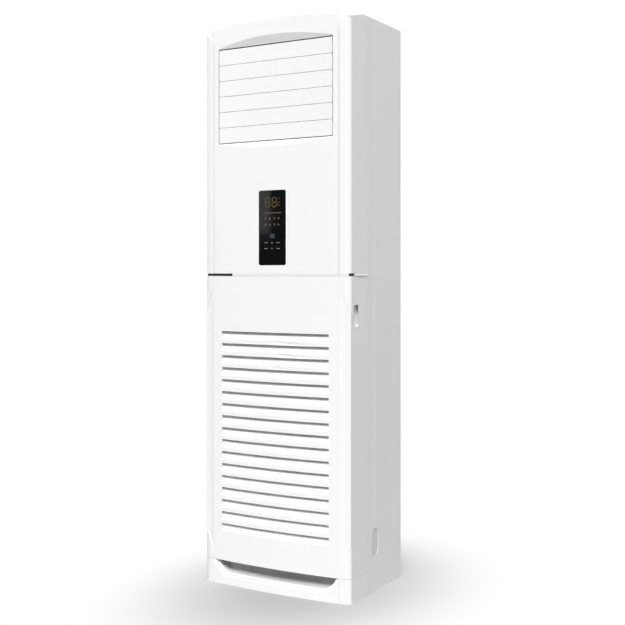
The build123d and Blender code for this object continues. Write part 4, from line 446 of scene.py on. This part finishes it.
# Coil tubes and refrigerant pipes: drawn copper, slightly oxidised, bent cold and brazed at
# the ends of the coil.
material, nodes, links = new_material("drawn_copper")
coordinates = object_coordinates(nodes)
stain = noise(nodes, links, coordinates, 24.0, detail=5.0, rough=0.6)
stained = spread(nodes, links, stain, 0.0, 1.0)
colour = blend_colours(nodes, links, stained, (0.78, 0.40, 0.25), (0.48, 0.22, 0.13))
roughness = spread(nodes, links, stain, 0.25, 0.48)
principled(nodes, links, colour, roughness, noise(nodes, links, coordinates, 600.0), 0.05, Metallic=1.0)
dress(["evaporator_tubes", "refrigerant_pipes"], material)

# Control and display boards: etched fibre-glass laminate with green solder mask over the copper
# tracks; they are screwed to posts.
material, nodes, links = new_material("solder_mask")
board = nodes.new("ShaderNodeTexBrick")
board.inputs["Scale"].default_value = 90.0
board.inputs["Mortar Size"].default_value = 0.03
links.new(object_coordinates(nodes), board.inputs["Vector"])
tracks = board.outputs["Fac"]
colour = blend_colours(nodes, links, tracks, (0.02, 0.12, 0.05), (0.05, 0.22, 0.10))
roughness = spread(nodes, links, tracks, 0.28, 0.42, from_low=0.0, from_high=1.0)
principled(nodes, links, colour, roughness, tracks, 0.2, distance=0.0001)
dress(["display_board", "control_board"], material)

# Display lens and keys: smoked acrylic sprayed black on the back, injection moulded and polished, with
# a trace of finger marks. The lens is glued in its rebate and the keys clip in from behind.
material, nodes, links = new_material("black_lens")
surface = place_group(nodes, grain_group, Scale=900.0, Patch_Scale=26.0)
colour = blend_colours(nodes, links, surface["Patches"], (0.0035, 0.0035, 0.004), (0.006, 0.006, 0.0065))
roughness = spread(nodes, links, surface["Patches"], 0.04, 0.11)
principled(nodes, links, colour, roughness, surface["Height"], 0.004, IOR=1.49)
key_names = ["key_lower_left", "key_down", "key_lower_right", "key_upper_left", "key_up",
             "key_upper_right"]
dress(["display_lens"] + key_names, material)

# Graphics of the display, lit from behind through the lens and printed on the keys. Each lies a few
# hundredths of a millimetre proud of the bowed lens; their places are in millimetres.
bow_radius = 2.1815
bow_front = -0.1845
lens_face = 0.0001
key_face = -0.0003
print_half = 0.00004


def bowed_y(x, depth):
    return bow_front + bow_radius - math.sqrt(bow_radius ** 2 - x ** 2) + depth


def toward(x, z, degrees, reach):
    angle = math.radians(degrees)
    return x + reach * math.cos(angle), z + reach * math.sin(angle)


def bar(x1, z1, x2, z2, width, point=0.6):
    run = math.hypot(x2 - x1, z2 - z1)
    across = (-(z2 - z1) / run * width / 2, (x2 - x1) / run * width / 2)
    along = ((x2 - x1) / run * width / 2, (z2 - z1) / run * width / 2)
    return [(x1 + across[0], z1 + across[1]), (x1 - along[0] * point, z1 - along[1] * point),
            (x1 - across[0], z1 - across[1]), (x2 - across[0], z2 - across[1]),
            (x2 + along[0] * point, z2 + along[1] * point), (x2 + across[0], z2 + across[1])]


def disc(x, z, radius, sides=20):
    turns = [2 * math.pi * k / sides for k in range(sides)]
    return [(x + radius * math.cos(turn), z + radius * math.sin(turn)) for turn in turns]


def on_lens(name, shapes, material, body, front):
    points = []
    faces = []
    for shape in shapes:
        first = len(points)
        count = len(shape)
        for depth in (front - print_half, front + print_half):
            points += [(x / 1000, bowed_y(x / 1000, depth), z / 1000) for x, z in shape]
        faces.append([first + k for k in range(count)])
        faces.append([first + count + k for k in reversed(range(count))])
        faces += [[first + k, first + count + k, first + count + (k + 1) % count, first + (k + 1) % count]
                  for k in range(count)]
    piece = mesh_object(name, points, faces)
    piece.data.materials.append(material)
    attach(piece, body)


def lit_print(name, colour, glow, strength):
    material, nodes, links = new_material(name)
    uneven = noise(nodes, links, object_coordinates(nodes), 420.0, detail=3.0)
    faded = spread(nodes, links, uneven, 0.0, 1.0)
    shade = blend_colours(nodes, links, faded, colour, tuple(0.75 * channel for channel in colour))
    light = blend_colours(nodes, links, faded, glow, tuple(0.7 * channel for channel in glow))
    roughness = spread(nodes, links, uneven, 0.3, 0.45)
    shader = principled(nodes, links, shade, roughness, uneven, 0.02)
    links.new(light, shader.inputs["Emission Color"])
    shader.inputs["Emission Strength"].default_value = strength
    return material


def seven_segments(x, z, wide, high, stroke):
    left, right = x - wide / 2, x + wide / 2
    top, low = z + high / 2, z - high / 2
    gap = stroke * 0.75
    return [bar(left + gap, top, right - gap, top, stroke), bar(left + gap, z, right - gap, z, stroke),
            bar(left + gap, low, right - gap, low, stroke), bar(left, top - gap, left, z + gap, stroke),
            bar(right, top - gap, right, z + gap, stroke), bar(left, z - gap, left, low + gap, stroke),
            bar(right, z - gap, right, low + gap, stroke)]


amber = lit_print("amber_segments", (0.08, 0.052, 0.016), (0.26, 0.17, 0.05), 0.20)
digits = []
for digit_x in (-17.5, 8.0):
    digits += seven_segments(digit_x, 1229.5, wide=15, high=29, stroke=3.0)
unit_left, unit_right = 22.0, 28.5
unit_top, unit_low = 1229, 1219
digits += [disc(24.5, 1241.0, 2.2), bar(unit_left, unit_top, unit_right, unit_top, 2.0),
           bar(unit_left, unit_low, unit_right, unit_low, 2.0),
           bar(unit_left, unit_top, unit_left, unit_low, 2.0)]
on_lens("display_digits", digits, amber, "cabinet", lens_face)

brown_print = lit_print("brown_icons", (0.12, 0.085, 0.05), (0.26, 0.17, 0.10), 0.20)
label_z = 1196.2
label_half = 3.2
icon_rows = (1178.6, 1159.2)
icon_columns = (-24.5, -8.4, 8.4, 24.0)
snow_arm = 4.2
icons = [bar(x - label_half, label_z, x + label_half, label_z, 3.4) for x in (-24, -13, -2, 9, 20, 29)]
for row, z in enumerate(icon_rows):
    for column, x in enumerate(icon_columns):
        kind = ("snow", "drop", "sun", "fan")[(column + row) % 4]
        if kind == "snow":
            icons += [bar(*toward(x, z, turn, -snow_arm), *toward(x, z, turn, snow_arm), 1.0)
                      for turn in (0, 60, 120)]
        elif kind == "drop":
            belly = [toward(x, z - 1.2, turn, 3.2) for turn in range(20, -201, -20)]
            icons.append([(x, z + 4.8)] + belly)
        elif kind == "sun":
            rays = [bar(*toward(x, z, turn, 3.1), *toward(x, z, turn, 4.4), 0.8)
                    for turn in range(0, 360, 45)]
            icons += [disc(x, z, 2.2)] + rays
        else:
            icons += [disc(*toward(x, z, turn, 2.5), 1.7, 12) for turn in (0, 120, 240)]
on_lens("display_icons", icons, brown_print, "cabinet", lens_face)

# The receiver window is no lamp: its faint glow is painted light.
receiver = lit_print("receiver_window", (0.030, 0.042, 0.055), (0.05, 0.07, 0.09), 0.10)
window_x, window_z = 0.5, 1123.0
corner_x, corner_z, corner_radius = 6.5, 4.5, 2.5
window = []
for side_x, side_z, start in ((1, 1, 0), (-1, 1, 90), (-1, -1, 180), (1, -1, 270)):
    for step in range(0, 91, 30):
        window.append(toward(window_x + side_x * corner_x, window_z + side_z * corner_z, start + step,
                             corner_radius))
on_lens("receiver_window", [window], receiver, "cabinet", lens_face)

# The key legends are print, not lamps: their glow is painted light that brightens them.
legend = lit_print("key_legends", (0.42, 0.42, 0.42), (0.35, 0.35, 0.35), 0.25)
tip = 2.2
foot = 1.6
dash_start, dash_end, dash_width = 1.6, 5.4, 1.5
for node in key_names:
    low_corner, high_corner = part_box(node)
    x = 1000 * (low_corner[0] + high_corner[0]) / 2
    z = 1000 * (low_corner[2] + high_corner[2]) / 2
    if node == "key_up":
        marks = [[(x - tip, z - foot), (x + tip, z - foot), (x, z + tip)]]
    elif node == "key_down":
        marks = [[(x - tip, z + foot), (x, z - tip), (x + tip, z + foot)]]
    else:
        marks = [bar(x - dash_end, z, x - dash_start, z, dash_width),
                 bar(x + dash_start, z, x + dash_end, z, dash_width)]
    on_lens(node + "_legend", marks, legend, node, key_face)

# Black blocks that fill the seam's long slot and the notches at both its corners: painted shade, dark
# pieces put where the gaps between the panels are only in shade, so that those gaps show black. Their plans
# are given in millimetres, as X and the depth behind the face's side edges.
gap_shade_black = moulded_plastic("gap_painted_shade", (0.012, 0.012, 0.012), (0.022, 0.022, 0.022),
                             (0.05, 0.05, 0.048), gloss=0.80, matt=0.95, grain=600.0, relief=0.4,
                             dust=0.3)
shade_low = 0.9975
shade_high = 1.0052
shade_setback = 0.0020


def shade_block(name, plan, clockwise):
    count = len(plan)
    points = [(x / 1000, face_edge_y + depth / 1000, z) for z in (shade_low, shade_high) for x, depth in plan]
    sides = [(k, (k + 1) % count, count + (k + 1) % count, count + k) for k in range(count)]
    faces = sides + [tuple(reversed(range(count))), tuple(range(count, 2 * count))]
    if clockwise:
        faces = [tuple(reversed(face)) for face in faces]
    piece = mesh_object(name, points, faces)
    piece.data.materials.append(gap_shade_black)
    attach(piece, "cabinet")


slot_edge = [(x, 1000 * (bowed_y(x / 1000, shade_setback) - face_edge_y)) for x in range(-157, -233, -5)]
slot_back = [(-231.7, 9.7), (-231.7, 5.2), (-156.4, 5.2)]
left_edge = [(-245.0, 2.9), (-252.0, 4.2), (-257.0, 5.7), (-262.0, 7.8)]
corner_edge = [(265.0, 10.4), (267.6, 14.2), (268.6, 17.0), (268.6, 33.6), (267.3, 33.6), (267.3, 15.5)]
left_corner = [(-x, depth) for x, depth in corner_edge] + [(-263.4, 15.5), (-263.4, 9.7)]
shade_block("corner_shade_right", [(263.4, 9.0)] + corner_edge + [(263.4, 15.5)], clockwise=False)
shade_block("slot_shade_left", slot_edge + left_edge + left_corner + slot_back, clockwise=True)
